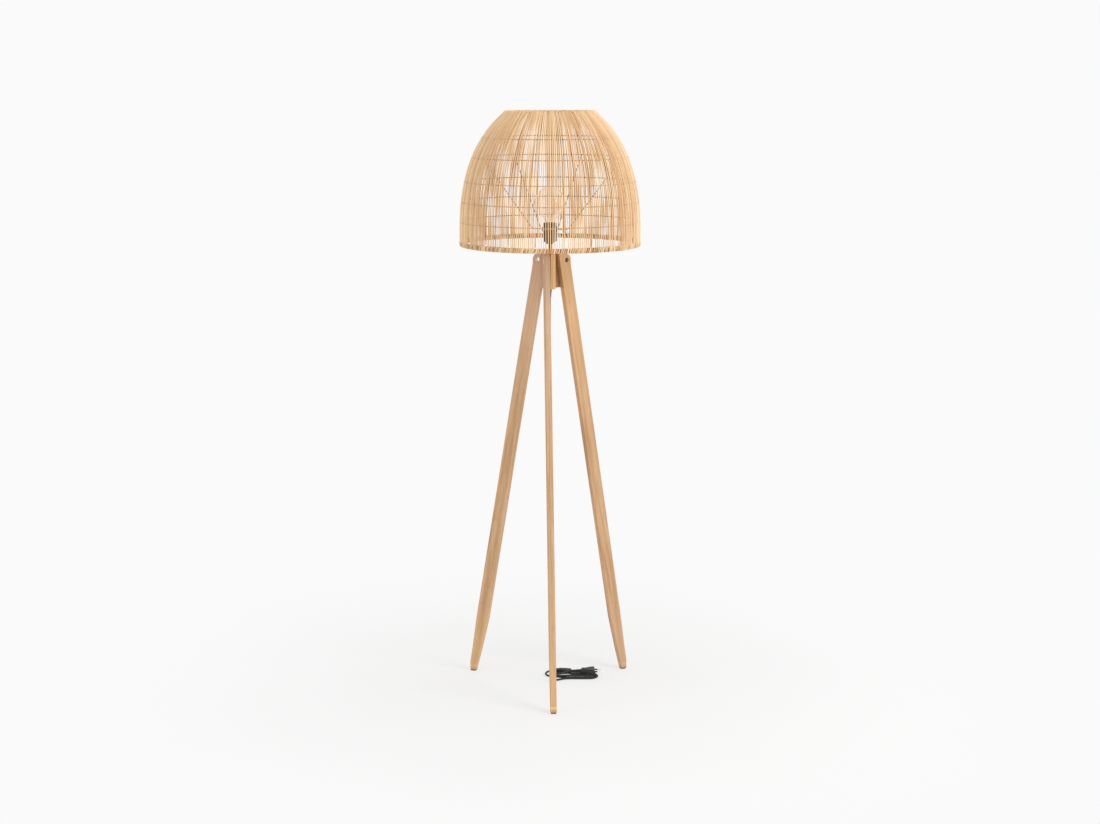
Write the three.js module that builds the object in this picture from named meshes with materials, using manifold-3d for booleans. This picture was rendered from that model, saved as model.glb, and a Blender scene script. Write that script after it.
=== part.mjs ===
// A floor lamp with a cage shade of thin canes on three plank legs.
// Millimetres, +Z up. The origin is on the floor, under the middle of the shade.
// Azimuths run from the front (-Y) towards +X.

import * as THREE from 'three';
import { mergeVertices } from 'three/addons/utils/BufferGeometryUtils.js';
import Module from 'manifold-3d';

const wasm = await Module();
wasm.setup();

// Clearances
const SEAT_GAP = 0.3;
const CUT_OVERRUN = 5;

// Legs: planks that lean in towards the top, set round the hub like a pinwheel
const LEG_COUNT = 3;
const LEG_TURN_DEG = 5.09;
const LEG_TOP_HEIGHT = 1158;
const LEG_THICKNESS = 15.8;
const LEG_WIDTH = 33.7;
const LEG_OFFSET = 12.3;
const LEG_FOOT_REACH = 250.7;
const LEG_HEAD_REACH = 46.9;
const LEG_EDGE_BEVEL = 1.2;
const HEAD_CORNER_PAST_EDGE = 5.4;
const HEAD_CORNER_RADIUS = 11;
const HEAD_HOLE_DIAMETER = 10.6;
const HEAD_HOLE_INSET = 8.4;
const HEAD_HOLE_DROP = 19;
const FOOT_TRIM = 4.3;
const FOOT_WIDTH = 15;
const FOOT_TAPER_HEIGHT = 155;

// Foot pads
const PAD_THICKNESS = 3;
const PAD_INSET = 1;
const PAD_BEVEL = 0.6;

// Hub: three fins as thick as the planks, one beside the head of each leg
const HUB_HEIGHT = 90;
const HUB_TOP_DROP = 1;
const HUB_REACH = 26;
const HUB_BEVEL = 0.8;
const DOWEL_DIAMETER = 5;
const DOWEL_LENGTH = 22;
const DOWEL_DROP = 33;

// Threaded tube with its nuts, and the outlet of the cord
const TUBE_DIAMETER = 10;
const TUBE_WALL = 1.4;
const STEM_RISE = 24.3;
const NUT_ACROSS_FLATS = 14;
const NUT_THICKNESS = 3;
const TUBE_END_PAST_NUT = 0.6;
const RELIEF_LENGTH = 20;
const RELIEF_TOP_DIAMETER = 9.2;
const RELIEF_END_DIAMETER = 6.2;
const RELIEF_RIB_DEPTH = 0.5;

// Lampholder
const HOLDER_DIAMETER = 34.6;
const HOLDER_WALL = 3.1;
const HOLDER_BASE_HEIGHT = 14.7;
const HOLDER_NECK_DIAMETER = 18;
const HOLDER_NECK_HEIGHT = 5.5;
const HOLDER_SHELL_HEIGHT = 38.9;
const HOLDER_FLOOR_THICKNESS = 9;
const SHADE_RING_DIAMETER = 45;
const SHADE_RING_THICKNESS = 5;
const SHADE_RING_RISE = 16.5;

// Bulb
const BULB_DIAMETER = 80;
const BULB_GLASS_WALL = 1.2;
const BULB_NECK_DIAMETER = 26.4;
const BULB_CAP_DIAMETER = 26.2;
const BULB_CAP_HEIGHT = 27;
const BULB_CAP_TIP_DIAMETER = 9;
const BULB_CAP_TIP_HEIGHT = 5;
const BULB_CENTRE_RISE = 53.4;
const STEM_GLASS_DIAMETER = 12;
const STEM_GLASS_HEIGHT = 24;
const STEM_GLASS_TIP_DIAMETER = 4;
const FILAMENT_DIAMETER = 1.8;
const FILAMENT_REACH = 16;
const FILAMENT_LENGTH = 36;
const FILAMENT_BASE_RISE = 3;
const FILAMENT_COUNT = 4;

// Carrier that hangs the shade on the lampholder
const CARRIER_PLATE_THICKNESS = 2;
const CARRIER_PLATE_DIAMETER = 44;
const CARRIER_WIRE = 4;
const CARRIER_ARM_COUNT = 3;
const CARRIER_FIRST_ARM_DEG = 60;
const CARRIER_FLAT_REACH = 50;
const CARRIER_BEND = 9;
const CARRIER_HOOP = 3;

// Shade: the outline of its canes runs from the rim to the mouth
const SHADE_DROP = 41.2;
const SHADE_HEIGHT = 342;
const RIM_RADIUS = 231.9;
const RIM_RISE = 60.4;
const SHOULDER_REACH = 122.5;
const SHOULDER_LEAN = 102.8;
const MOUTH_RADIUS = 121.1;
const MOUTH_LIP = 3.5;
const PANEL_COUNT = 10;
const BUNDLES_PER_PANEL = 2;
const BUNDLE_GAP_DEG = -8;
const STRIPS_PER_BUNDLE = 4;
const STRIP_PITCH_DEG = 4.2;
const STRIP_WIDTH = 8.2;
const CANE_THICKNESS = 2.2;
const THREAD_ROW_HEIGHT = 2.4;
const HOOP_WIRE = 3;
const MOUTH_RING_WIRE = 6;
const RIB_WIRE = 2.6;
const RIB_BEND_RADIUS = 8;
const RIM_BINDING_HEIGHT = 12.4;
const RIM_BINDING_WALL = 1.5;
const hoopHeightShares = [0.179, 0.327, 0.478, 0.658, 0.806];
const threadedHoops = [0, 2, 4];

// Cord, its hank on the floor, and what is on it
const CORD_DIAMETER = 5;
const CORD_FLOOR_GAP = 0.15;
const HANK_LAYER_GAP = 0.5;
const HANK_LOOPS = 2;
const HANK_LEFT = 22;
const HANK_RIGHT = 107;
const HANK_MIDDLE_Y = 52.5;
const HANK_HALF_WIDTH = 15.9;
const HANK_WAIST = 2.6;
const HANK_START_FOLD_RADIUS = 16;
const HANK_START_SWEEP_END = 42;
const HANK_END_SWEEP_START = 24;

// Switch on the cord
const SWITCH_LENGTH = 48;
const SWITCH_WIDTH = 18;
const SWITCH_END_WIDTH = 9;
const SWITCH_HEIGHT = 12.8;
const SWITCH_BASE_HEIGHT = 5.8;
const SWITCH_LEFT = 10;
const SWITCH_Y = 81.5;
const SWITCH_BEVEL = 1;
const ROCKER_LENGTH = 17.2;
const ROCKER_WIDTH = 8;
const ROCKER_TILT_DEG = 7;
const ROCKER_PIVOT_DROP = 3.6;
const ROCKER_END_RISE = 4.2;
const ROCKER_DIP_RISE = 2.7;
const ROCKER_END_THICKNESS = 3;
const ROCKER_BELLY_WIDTH = 5;
const ROCKER_BELLY_DROP = 2.2;
const ROCKER_WINDOW_MARGIN = 0.9;

// Plug
const PLUG_LENGTH = 36;
const PLUG_FACE_WIDTH = 35.2;
const PLUG_NECK_WIDTH = 13;
const PLUG_THICKNESS = 13.4;
const PLUG_BEVEL = 1.4;
const PLUG_LEFT = 85;
const PLUG_RELIEF_LENGTH = 20;
const PLUG_RELIEF_DIAMETER = 9;
const PLUG_PIN_DIAMETER = 4;
const PLUG_PIN_LENGTH = 19;
const PLUG_PIN_SPACING = 19;

// Facets
const RING_SEGMENTS = PANEL_COUNT * BUNDLES_PER_PANEL * 2;
const WIRE_SIDES = 4;
const ROUND_SEGMENTS = 20;
const SMALL_SEGMENTS = 12;
const CORD_SIDES = 8;
const HANK_SIDES = 6;
const FOLD_STEPS = 6;
const RUN_STEPS = 6;
const LEAD_STEPS_PER_POINT = 2;

// Heights that follow from the sizes above
const LEG_BOTTOM = PAD_THICKNESS + SEAT_GAP;
const HUB_TOP = LEG_TOP_HEIGHT - HUB_TOP_DROP;
const HUB_BOTTOM = HUB_TOP - HUB_HEIGHT;
const HOLDER_BOTTOM = HUB_TOP + STEM_RISE;
const SHELL_BOTTOM = HOLDER_BOTTOM + HOLDER_BASE_HEIGHT + SEAT_GAP;
const SHELL_TOP = SHELL_BOTTOM + HOLDER_SHELL_HEIGHT;
const LOWER_RING_BOTTOM = SHELL_BOTTOM + SHADE_RING_RISE;
const CARRIER_BOTTOM = LOWER_RING_BOTTOM + SHADE_RING_THICKNESS + SEAT_GAP;
const UPPER_RING_BOTTOM = CARRIER_BOTTOM + CARRIER_PLATE_THICKNESS + SEAT_GAP;
const CARRIER_MIDDLE = CARRIER_BOTTOM + CARRIER_PLATE_THICKNESS / 2;
const SHADE_BOTTOM = CARRIER_MIDDLE - SHADE_DROP;
const SHADE_TOP = SHADE_BOTTOM + SHADE_HEIGHT;
const CANE_BOTTOM = SHADE_BOTTOM + RIM_BINDING_WALL + SEAT_GAP;
const CANE_TOP = SHADE_TOP - MOUTH_LIP;
const BULB_BOTTOM = SHELL_BOTTOM + HOLDER_FLOOR_THICKNESS + SEAT_GAP;
const BULB_CAP_TOP = BULB_BOTTOM + BULB_CAP_HEIGHT;
const LOWER_NUT_BOTTOM = HUB_BOTTOM - SEAT_GAP - NUT_THICKNESS;
const TUBE_BOTTOM = LOWER_NUT_BOTTOM - TUBE_END_PAST_NUT;
const TUBE_TOP = HOLDER_BOTTOM + HOLDER_BASE_HEIGHT - SEAT_GAP;
const RELIEF_TOP = TUBE_BOTTOM - SEAT_GAP;
const CORD_EXIT = RELIEF_TOP - RELIEF_LENGTH - SEAT_GAP;
const CORD_FLOOR = CORD_DIAMETER / 2 + CORD_FLOOR_GAP;
const SWITCH_BOTTOM = SEAT_GAP;
const SWITCH_AXIS = SWITCH_BOTTOM + SWITCH_HEIGHT / 2;
const LAYER_PITCH = CORD_DIAMETER + HANK_LAYER_GAP;
const PLUG_BOTTOM = CORD_FLOOR + LAYER_PITCH + CORD_DIAMETER / 2 + SEAT_GAP;
const PLUG_AXIS = PLUG_BOTTOM + PLUG_THICKNESS / 2;

// Materials
const wood = (name, color) => new THREE.MeshStandardMaterial({ name, color, roughness: 0.6 });
const finishes = {
  legWood: wood('leg_wood', 0xd8ab78),
  cane: wood('cane', 0xdcb48a),
  binding: wood('binding', 0xd4aa78),
  wire: new THREE.MeshStandardMaterial({ color: 0xb09562, roughness: 0.5, metalness: 0.6 }),
  steel: new THREE.MeshStandardMaterial({ color: 0xb4ada2, roughness: 0.35, metalness: 1 }),
  black: new THREE.MeshStandardMaterial({ color: 0x232220, roughness: 0.5 }),
  pad: new THREE.MeshStandardMaterial({ color: 0x4a4536, roughness: 0.9 }),
  glass: new THREE.MeshStandardMaterial({ color: 0xf1c99a, roughness: 0.05, transparent: true, opacity: 0.4 }),
  filament: new THREE.MeshStandardMaterial({ color: 0xffd890, roughness: 0.4 }),
};

const lamp = new THREE.Group();

function add(name, geometry, material) {
  const mesh = new THREE.Mesh(geometry, material);
  mesh.name = name;
  lamp.add(mesh);
  return mesh;
}

const radians = THREE.MathUtils.degToRad;
const numbered = (index) => String(index + 1).padStart(2, '0');

// Solids for joins and cuts

function solidFrom(geometry) {
  const bare = geometry.index ? geometry.toNonIndexed() : geometry.clone();
  bare.deleteAttribute('normal');
  bare.deleteAttribute('uv');
  const merged = mergeVertices(bare);
  return new wasm.Manifold(new wasm.Mesh({
    numProp: 3,
    vertProperties: new Float32Array(merged.attributes.position.array),
    triVerts: new Uint32Array(merged.index.array),
  }));
}

function geometryFrom(solid) {
  const mesh = solid.getMesh();
  const geometry = new THREE.BufferGeometry();
  geometry.setAttribute('position', new THREE.BufferAttribute(mesh.vertProperties, mesh.numProp));
  geometry.setIndex(new THREE.BufferAttribute(mesh.triVerts, 1));
  geometry.computeVertexNormals();
  return geometry;
}

// A solid of revolution about the lamp's axis. Points are [radius, height].
function turned(points, segments = ROUND_SEGMENTS) {
  const profile = points.map(([radius, height]) => new THREE.Vector2(radius, height));
  return new THREE.LatheGeometry(profile, segments).rotateX(Math.PI / 2);
}

// A turned ring: its profile closes on itself.
function turnedRing(points, segments = ROUND_SEGMENTS) {
  return turned([...points, points[0]], segments);
}

function polygon(radius, sides, turn = 0) {
  const points = [];
  for (let i = 0; i < sides; i++) {
    const angle = turn + (i / sides) * Math.PI * 2;
    points.push(new THREE.Vector2(radius * Math.cos(angle), radius * Math.sin(angle)));
  }
  return points;
}

// A route whose steps follow its points, so they lie close together in the bends.
class Route extends THREE.CatmullRomCurve3 {
  getPointAt(share, target) {
    return this.getPoint(share, target);
  }

  getTangentAt(share, target) {
    return this.getTangent(share, target);
  }
}

function wireAlong(curve, diameter, sides, steps) {
  const section = new THREE.Shape(polygon(diameter / 2, sides, Math.PI / sides));
  return new THREE.ExtrudeGeometry(section, { steps, extrudePath: curve });
}

function wireRing(radius, height, diameter, sides = WIRE_SIDES) {
  return new THREE.TorusGeometry(radius, diameter / 2, sides, RING_SEGMENTS)
    .rotateZ(radians(BUNDLE_GAP_DEG) - Math.PI / 2)
    .translate(0, 0, height);
}

function nut(bottom) {
  const hexagon = new THREE.Shape(polygon(NUT_ACROSS_FLATS / Math.sqrt(3), 6));
  hexagon.holes.push(new THREE.Path(polygon(TUBE_DIAMETER / 2 + SEAT_GAP, SMALL_SEGMENTS)));
  return new THREE.ExtrudeGeometry(hexagon, { depth: NUT_THICKNESS, bevelEnabled: false })
    .translate(0, 0, bottom);
}

// Legs

const legLean = (LEG_FOOT_REACH - LEG_HEAD_REACH) / LEG_TOP_HEIGHT;
const legOuter = (height) => LEG_FOOT_REACH - legLean * height;
const legInner = (height) => legOuter(height) - LEG_WIDTH;
const legHeightAt = (reach) => (LEG_FOOT_REACH - reach) / legLean;
const legAzimuth = (index) => radians(LEG_TURN_DEG + (index * 360) / LEG_COUNT);
const LEG_INNER_FACE = LEG_OFFSET - LEG_THICKNESS / 2;
const FOOT_REACH = LEG_FOOT_REACH - FOOT_TRIM;
const HEAD_CORNER_REACH = LEG_HEAD_REACH + HEAD_CORNER_PAST_EDGE;
const HEAD_HOLE_REACH = LEG_HEAD_REACH - HEAD_HOLE_INSET;

// Stands a shape drawn in (reach, height) up at a leg's azimuth. Its depth runs towards the
// leg's free side, from the given distance beside the axis.
function standAtLeg(geometry, index, side) {
  const azimuth = legAzimuth(index);
  const reach = new THREE.Vector3(Math.sin(azimuth), -Math.cos(azimuth), 0);
  const away = new THREE.Vector3(-Math.cos(azimuth), -Math.sin(azimuth), 0);
  const up = new THREE.Vector3(0, 0, 1);
  const matrix = new THREE.Matrix4().makeBasis(reach, up, away);
  matrix.setPosition(away.clone().multiplyScalar(side));
  return geometry.applyMatrix4(matrix);
}

function legOutline() {
  const outline = new THREE.Shape();
  outline.moveTo(FOOT_REACH - FOOT_WIDTH, LEG_BOTTOM);
  outline.lineTo(FOOT_REACH, LEG_BOTTOM);
  outline.lineTo(FOOT_REACH, legHeightAt(FOOT_REACH));
  outline.lineTo(HEAD_CORNER_REACH, legHeightAt(HEAD_CORNER_REACH));
  outline.lineTo(HEAD_CORNER_REACH, LEG_TOP_HEIGHT - HEAD_CORNER_RADIUS);
  outline.absarc(
    HEAD_CORNER_REACH - HEAD_CORNER_RADIUS, LEG_TOP_HEIGHT - HEAD_CORNER_RADIUS,
    HEAD_CORNER_RADIUS, 0, Math.PI / 2, false,
  );
  outline.lineTo(legInner(LEG_TOP_HEIGHT), LEG_TOP_HEIGHT);
  outline.lineTo(legInner(FOOT_TAPER_HEIGHT), FOOT_TAPER_HEIGHT);
  outline.closePath();
  return outline;
}

// A round cutter or dowel across a leg's head. from and to are distances to the free side.
function crossPin(index, reach, height, diameter, from, to) {
  const disc = new THREE.Shape(polygon(diameter / 2, SMALL_SEGMENTS));
  const pin = new THREE.ExtrudeGeometry(disc, { depth: to - from, bevelEnabled: false })
    .translate(reach, height, 0);
  return standAtLeg(pin, index, from);
}

// A dowel, or the hole that it sits in, with its middle where the leg meets the hub's fin.
function dowelGeometry(index, clearance) {
  const height = HUB_TOP - DOWEL_DROP;
  const reach = (legInner(height) + HUB_REACH) / 2;
  const middle = LEG_INNER_FACE - SEAT_GAP / 2;
  const half = DOWEL_LENGTH / 2 + clearance;
  return crossPin(index, reach, height, DOWEL_DIAMETER + 2 * clearance, middle - half, middle + half);
}

function legGeometry(index) {
  const plank = new THREE.ExtrudeGeometry(legOutline(), {
    depth: LEG_THICKNESS - 2 * LEG_EDGE_BEVEL,
    curveSegments: 5,
    bevelThickness: LEG_EDGE_BEVEL,
    bevelSize: LEG_EDGE_BEVEL,
    bevelOffset: -LEG_EDGE_BEVEL,
    bevelSegments: 1,
  }).translate(0, 0, LEG_EDGE_BEVEL);
  const blank = solidFrom(standAtLeg(plank, index, LEG_INNER_FACE));
  const headHole = crossPin(
    index, HEAD_HOLE_REACH, LEG_TOP_HEIGHT - HEAD_HOLE_DROP, HEAD_HOLE_DIAMETER,
    LEG_INNER_FACE - CUT_OVERRUN, LEG_INNER_FACE + LEG_THICKNESS + CUT_OVERRUN,
  );
  const dowelHole = dowelGeometry(index, SEAT_GAP);
  return geometryFrom(blank.subtract(solidFrom(headHole)).subtract(solidFrom(dowelHole)));
}

function padGeometry(index) {
  const block = new THREE.Shape([
    new THREE.Vector2(FOOT_REACH - FOOT_WIDTH + PAD_INSET, 0),
    new THREE.Vector2(FOOT_REACH - PAD_INSET, 0),
    new THREE.Vector2(FOOT_REACH - PAD_INSET, PAD_THICKNESS),
    new THREE.Vector2(FOOT_REACH - FOOT_WIDTH + PAD_INSET, PAD_THICKNESS),
  ]);
  const pad = new THREE.ExtrudeGeometry(block, {
    depth: LEG_THICKNESS - 2 * PAD_INSET - 2 * PAD_BEVEL,
    bevelThickness: PAD_BEVEL,
    bevelSize: PAD_BEVEL,
    bevelOffset: -PAD_BEVEL,
    bevelSegments: 1,
  }).translate(0, 0, PAD_BEVEL);
  return standAtLeg(pad, index, LEG_INNER_FACE + PAD_INSET);
}

function buildLegs() {
  const places = ['front', 'right', 'left'];
  for (let index = 0; index < LEG_COUNT; index++) {
    const place = places[index] ?? `extra_${index}`;
    add(`leg_${place}`, legGeometry(index), finishes.legWood);
    add(`foot_pad_${place}`, padGeometry(index), finishes.pad);
    add(`dowel_${place}`, dowelGeometry(index, 0), finishes.legWood);
  }
}

// Hub: in plan each fin runs out along its leg, and the fins meet at inner corners

function hubOutline() {
  const nearSide = LEG_INNER_FACE - SEAT_GAP;
  const farSide = LEG_THICKNESS - nearSide;
  const spread = (Math.PI * 2) / LEG_COUNT;
  const cornerReach = (farSide + nearSide * Math.cos(spread)) / Math.sin(spread);
  const points = [];
  for (let index = 0; index < LEG_COUNT; index++) {
    const azimuth = legAzimuth(index);
    const place = (reach, side) => new THREE.Vector2(
      reach * Math.sin(azimuth) - side * Math.cos(azimuth),
      -reach * Math.cos(azimuth) - side * Math.sin(azimuth),
    );
    points.push(place(cornerReach, nearSide), place(HUB_REACH, nearSide), place(HUB_REACH, -farSide));
  }
  return new THREE.Shape(points);
}

function buildHub() {
  const plan = hubOutline();
  plan.holes.push(new THREE.Path(polygon(TUBE_DIAMETER / 2 + SEAT_GAP, SMALL_SEGMENTS)));
  const block = new THREE.ExtrudeGeometry(plan, {
    depth: HUB_HEIGHT - 2 * HUB_BEVEL,
    bevelThickness: HUB_BEVEL,
    bevelSize: HUB_BEVEL,
    bevelOffset: -HUB_BEVEL,
    bevelSegments: 1,
  }).translate(0, 0, HUB_BOTTOM + HUB_BEVEL);
  let hub = solidFrom(block);
  for (let index = 0; index < LEG_COUNT; index++) {
    hub = hub.subtract(solidFrom(dowelGeometry(index, SEAT_GAP)));
  }
  add('hub', geometryFrom(hub), finishes.legWood);
}

// Threaded tube, nuts and cord outlet

function buildStem() {
  const outer = TUBE_DIAMETER / 2;
  const inner = outer - TUBE_WALL;
  add('threaded_tube', turnedRing([
    [inner, TUBE_BOTTOM], [outer, TUBE_BOTTOM], [outer, TUBE_TOP], [inner, TUBE_TOP],
  ], SMALL_SEGMENTS), finishes.steel);
  add('hub_nut_upper', nut(HUB_TOP + SEAT_GAP), finishes.steel);
  add('hub_nut_lower', nut(LOWER_NUT_BOTTOM), finishes.steel);

  const top = RELIEF_TOP_DIAMETER / 2;
  const end = RELIEF_END_DIAMETER / 2;
  const ribShares = [0.3, 0.45, 0.6, 0.75];
  const profile = [[0, RELIEF_TOP], [top, RELIEF_TOP]];
  for (const share of ribShares) {
    const height = RELIEF_TOP - share * RELIEF_LENGTH;
    const radius = top + (end - top) * share;
    profile.push([radius, height], [radius - RELIEF_RIB_DEPTH, height - RELIEF_RIB_DEPTH]);
  }
  profile.push([end, RELIEF_TOP - RELIEF_LENGTH], [0, RELIEF_TOP - RELIEF_LENGTH]);
  add('cord_outlet_relief', turned(profile.reverse(), SMALL_SEGMENTS), finishes.black);
}

// Lampholder

function buildLampholder() {
  const bore = TUBE_DIAMETER / 2 + SEAT_GAP;
  const outer = HOLDER_DIAMETER / 2;
  const inner = outer - HOLDER_WALL;
  const neck = HOLDER_NECK_DIAMETER / 2;
  const baseTop = HOLDER_BOTTOM + HOLDER_BASE_HEIGHT;
  add('lampholder_base', turnedRing([
    [bore, HOLDER_BOTTOM], [neck, HOLDER_BOTTOM],
    [neck, HOLDER_BOTTOM + HOLDER_NECK_HEIGHT / 2],
    [outer, HOLDER_BOTTOM + HOLDER_NECK_HEIGHT],
    [outer, baseTop], [bore, baseTop],
  ]), finishes.black);

  const floorTop = SHELL_BOTTOM + HOLDER_FLOOR_THICKNESS;
  add('lampholder_shell', turned([
    [0, SHELL_BOTTOM], [outer, SHELL_BOTTOM], [outer, SHELL_TOP],
    [inner, SHELL_TOP], [inner, floorTop], [0, floorTop],
  ]), finishes.black);

  const ringInner = outer + SEAT_GAP;
  const ringOuter = SHADE_RING_DIAMETER / 2;
  const chamfer = SHADE_RING_THICKNESS / 4;
  for (const [name, bottom] of [['lower', LOWER_RING_BOTTOM], ['upper', UPPER_RING_BOTTOM]]) {
    const top = bottom + SHADE_RING_THICKNESS;
    add(`shade_ring_${name}`, turnedRing([
      [ringInner, bottom], [ringOuter - chamfer, bottom], [ringOuter, bottom + chamfer],
      [ringOuter, top - chamfer], [ringOuter - chamfer, top], [ringInner, top],
    ]), finishes.black);
  }
}

// Bulb

function bulbWall(inset) {
  const radius = BULB_DIAMETER / 2 - inset;
  const neck = BULB_NECK_DIAMETER / 2 - inset;
  const centre = BULB_CAP_TOP + BULB_CENTRE_RISE;
  const points = [new THREE.Vector2(neck, BULB_CAP_TOP + SEAT_GAP)];
  const joinAngle = radians(-62);
  const join = new THREE.Vector2(
    radius * Math.cos(joinAngle), centre + radius * Math.sin(joinAngle),
  );
  const shoulder = new THREE.QuadraticBezierCurve(
    points[0], new THREE.Vector2(neck, (points[0].y + join.y) / 2), join,
  );
  points.push(...shoulder.getPoints(2).slice(1));
  const arcSteps = 9;
  for (let i = 1; i <= arcSteps; i++) {
    const angle = joinAngle + (i / arcSteps) * (Math.PI / 2 - joinAngle);
    points.push(new THREE.Vector2(radius * Math.cos(angle), centre + radius * Math.sin(angle)));
  }
  points[points.length - 1].x = 0;
  return points;
}

function buildBulb() {
  const glass = [...bulbWall(BULB_GLASS_WALL).reverse(), ...bulbWall(0)];
  add('bulb_glass', new THREE.LatheGeometry(glass, ROUND_SEGMENTS).rotateX(Math.PI / 2), finishes.glass);

  const cap = BULB_CAP_DIAMETER / 2;
  const tip = BULB_CAP_TIP_DIAMETER / 2;
  add('bulb_cap', turned([
    [0, BULB_BOTTOM], [tip, BULB_BOTTOM], [cap, BULB_BOTTOM + BULB_CAP_TIP_HEIGHT],
    [cap, BULB_CAP_TOP], [0, BULB_CAP_TOP],
  ]), finishes.steel);

  const stem = STEM_GLASS_DIAMETER / 2;
  const stemTip = STEM_GLASS_TIP_DIAMETER / 2;
  const stemBottom = BULB_CAP_TOP + SEAT_GAP;
  const stemTop = stemBottom + STEM_GLASS_HEIGHT;
  add('bulb_stem', turned([
    [0, stemBottom], [stem, stemBottom], [stemTip, stemBottom + STEM_GLASS_HEIGHT / 2],
    [stemTip, stemTop], [0, stemTop],
  ], SMALL_SEGMENTS), finishes.glass);

  const low = stemTop + FILAMENT_BASE_RISE;
  const high = low + FILAMENT_LENGTH;
  const points = [new THREE.Vector3(0, 0, stemTop + SEAT_GAP + FILAMENT_DIAMETER / 2)];
  for (let i = 0; i < FILAMENT_COUNT; i++) {
    const azimuth = ((i + 0.5) / FILAMENT_COUNT) * Math.PI * 2;
    const ends = i % 2 ? [high, low] : [low, high];
    for (const height of ends) {
      points.push(new THREE.Vector3(
        FILAMENT_REACH * Math.sin(azimuth), -FILAMENT_REACH * Math.cos(azimuth), height,
      ));
    }
  }
  const path = new THREE.CatmullRomCurve3(points, false, 'catmullrom', 0.05);
  const filamentSteps = 30;
  add('bulb_filament', wireAlong(path, FILAMENT_DIAMETER, WIRE_SIDES, filamentSteps), finishes.filament);
}

// Shade outline: a curve in (radius, height) on the outside of the canes

const shadeCurve = new THREE.CubicBezierCurve(
  new THREE.Vector2(RIM_RADIUS, CANE_BOTTOM),
  new THREE.Vector2(RIM_RADIUS, CANE_BOTTOM + RIM_RISE),
  new THREE.Vector2(MOUTH_RADIUS + SHOULDER_REACH, CANE_TOP - SHOULDER_LEAN),
  new THREE.Vector2(MOUTH_RADIUS, CANE_TOP),
);

// The place on the outline at a height, moved in towards the axis by depth along its normal.
function shadeInset(height, depth) {
  let low = 0;
  let high = 1;
  const bisections = 40;
  for (let i = 0; i < bisections; i++) {
    const middle = (low + high) / 2;
    if (shadeCurve.getPoint(middle).y < height) low = middle;
    else high = middle;
  }
  const at = (low + high) / 2;
  const point = shadeCurve.getPoint(at);
  const tangent = shadeCurve.getTangent(at);
  return new THREE.Vector2(point.x - tangent.y * depth, point.y + tangent.x * depth);
}

const hoopHeights = hoopHeightShares.map((share) => SHADE_BOTTOM + share * SHADE_HEIGHT);
const hoopDepth = CANE_THICKNESS + SEAT_GAP + HOOP_WIRE / 2;
const ribDepth = CANE_THICKNESS + SEAT_GAP + HOOP_WIRE + SEAT_GAP + RIB_WIRE / 2;

const bundlePitch = (Math.PI * 2) / (PANEL_COUNT * BUNDLES_PER_PANEL);
const gapAzimuth = (index) => radians(BUNDLE_GAP_DEG) + index * bundlePitch;

// Heights at which a strip of canes bends. Thread ties the strips from a tied height to the next.
function stripLevels() {
  const levels = [{ height: CANE_BOTTOM }];
  hoopHeights.forEach((height, index) => {
    if (threadedHoops.includes(index)) {
      levels.push({ height: height - THREAD_ROW_HEIGHT / 2, tied: true }, { height: height + THREAD_ROW_HEIGHT / 2 });
    } else {
      levels.push({ height });
    }
  });
  levels.push({ height: CANE_TOP });
  return levels;
}

// The azimuths of a panel's strips. The canes stand in bundles, with a wider gap between bundles.
function stripAzimuths(panel) {
  const azimuths = [];
  for (let bundle = 0; bundle < BUNDLES_PER_PANEL; bundle++) {
    const middle = gapAzimuth(panel * BUNDLES_PER_PANEL + bundle + 0.5);
    for (let strip = 0; strip < STRIPS_PER_BUNDLE; strip++) {
      azimuths.push(middle + (strip - (STRIPS_PER_BUNDLE - 1) / 2) * radians(STRIP_PITCH_DEG));
    }
  }
  return azimuths;
}

// One panel: flat strips of canes side by side, tied across at the threaded hoops.
// Every face is written once and shares its corners, so the panel is one closed body.
function panelGeometry(panel) {
  const levels = stripLevels();
  const corners = [];
  const faces = [];

  const corner = (azimuth, across, place) => {
    corners.push(
      place.x * Math.sin(azimuth) + across * Math.cos(azimuth),
      -place.x * Math.cos(azimuth) + across * Math.sin(azimuth),
      place.y,
    );
    return corners.length / 3 - 1;
  };
  const quad = (a, b, c, d) => faces.push(a, b, c, a, c, d);

  // A section's corners, seen from outside: left and right of the outer face, then right and
  // left of the inner face.
  const section = (azimuth, height) => {
    const half = STRIP_WIDTH / 2;
    const outside = shadeInset(height, 0);
    const inside = shadeInset(height, CANE_THICKNESS);
    return [
      corner(azimuth, -half, outside), corner(azimuth, half, outside),
      corner(azimuth, half, inside), corner(azimuth, -half, inside),
    ];
  };
  const strips = stripAzimuths(panel).map((azimuth) => levels.map(({ height }) => section(azimuth, height)));

  strips.forEach((strip, index) => {
    const [first, last] = [strip[0], strip[strip.length - 1]];
    quad(first[0], first[3], first[2], first[1]);
    quad(last[0], last[1], last[2], last[3]);
    const next = strips[index + 1];
    for (let level = 0; level + 1 < levels.length; level++) {
      const [low, high] = [strip[level], strip[level + 1]];
      const { tied } = levels[level];
      quad(low[0], low[1], high[1], high[0]);
      quad(low[2], low[3], high[3], high[2]);
      if (!tied || index === 0) quad(low[3], low[0], high[0], high[3]);
      if (tied && next) tie(low, high, next[level], next[level + 1]);
      else quad(low[1], low[2], high[2], high[1]);
    }
  });

  // Thread from one strip to the next
  function tie(low, high, nextLow, nextHigh) {
    quad(low[1], nextLow[0], nextHigh[0], high[1]);
    quad(nextLow[3], low[2], high[2], nextHigh[3]);
    quad(high[1], nextHigh[0], nextHigh[3], high[2]);
    quad(low[2], nextLow[3], nextLow[0], low[1]);
  }

  const geometry = new THREE.BufferGeometry();
  geometry.setAttribute('position', new THREE.Float32BufferAttribute(corners, 3));
  geometry.setIndex(faces);
  geometry.computeVertexNormals();
  return geometry;
}

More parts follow.
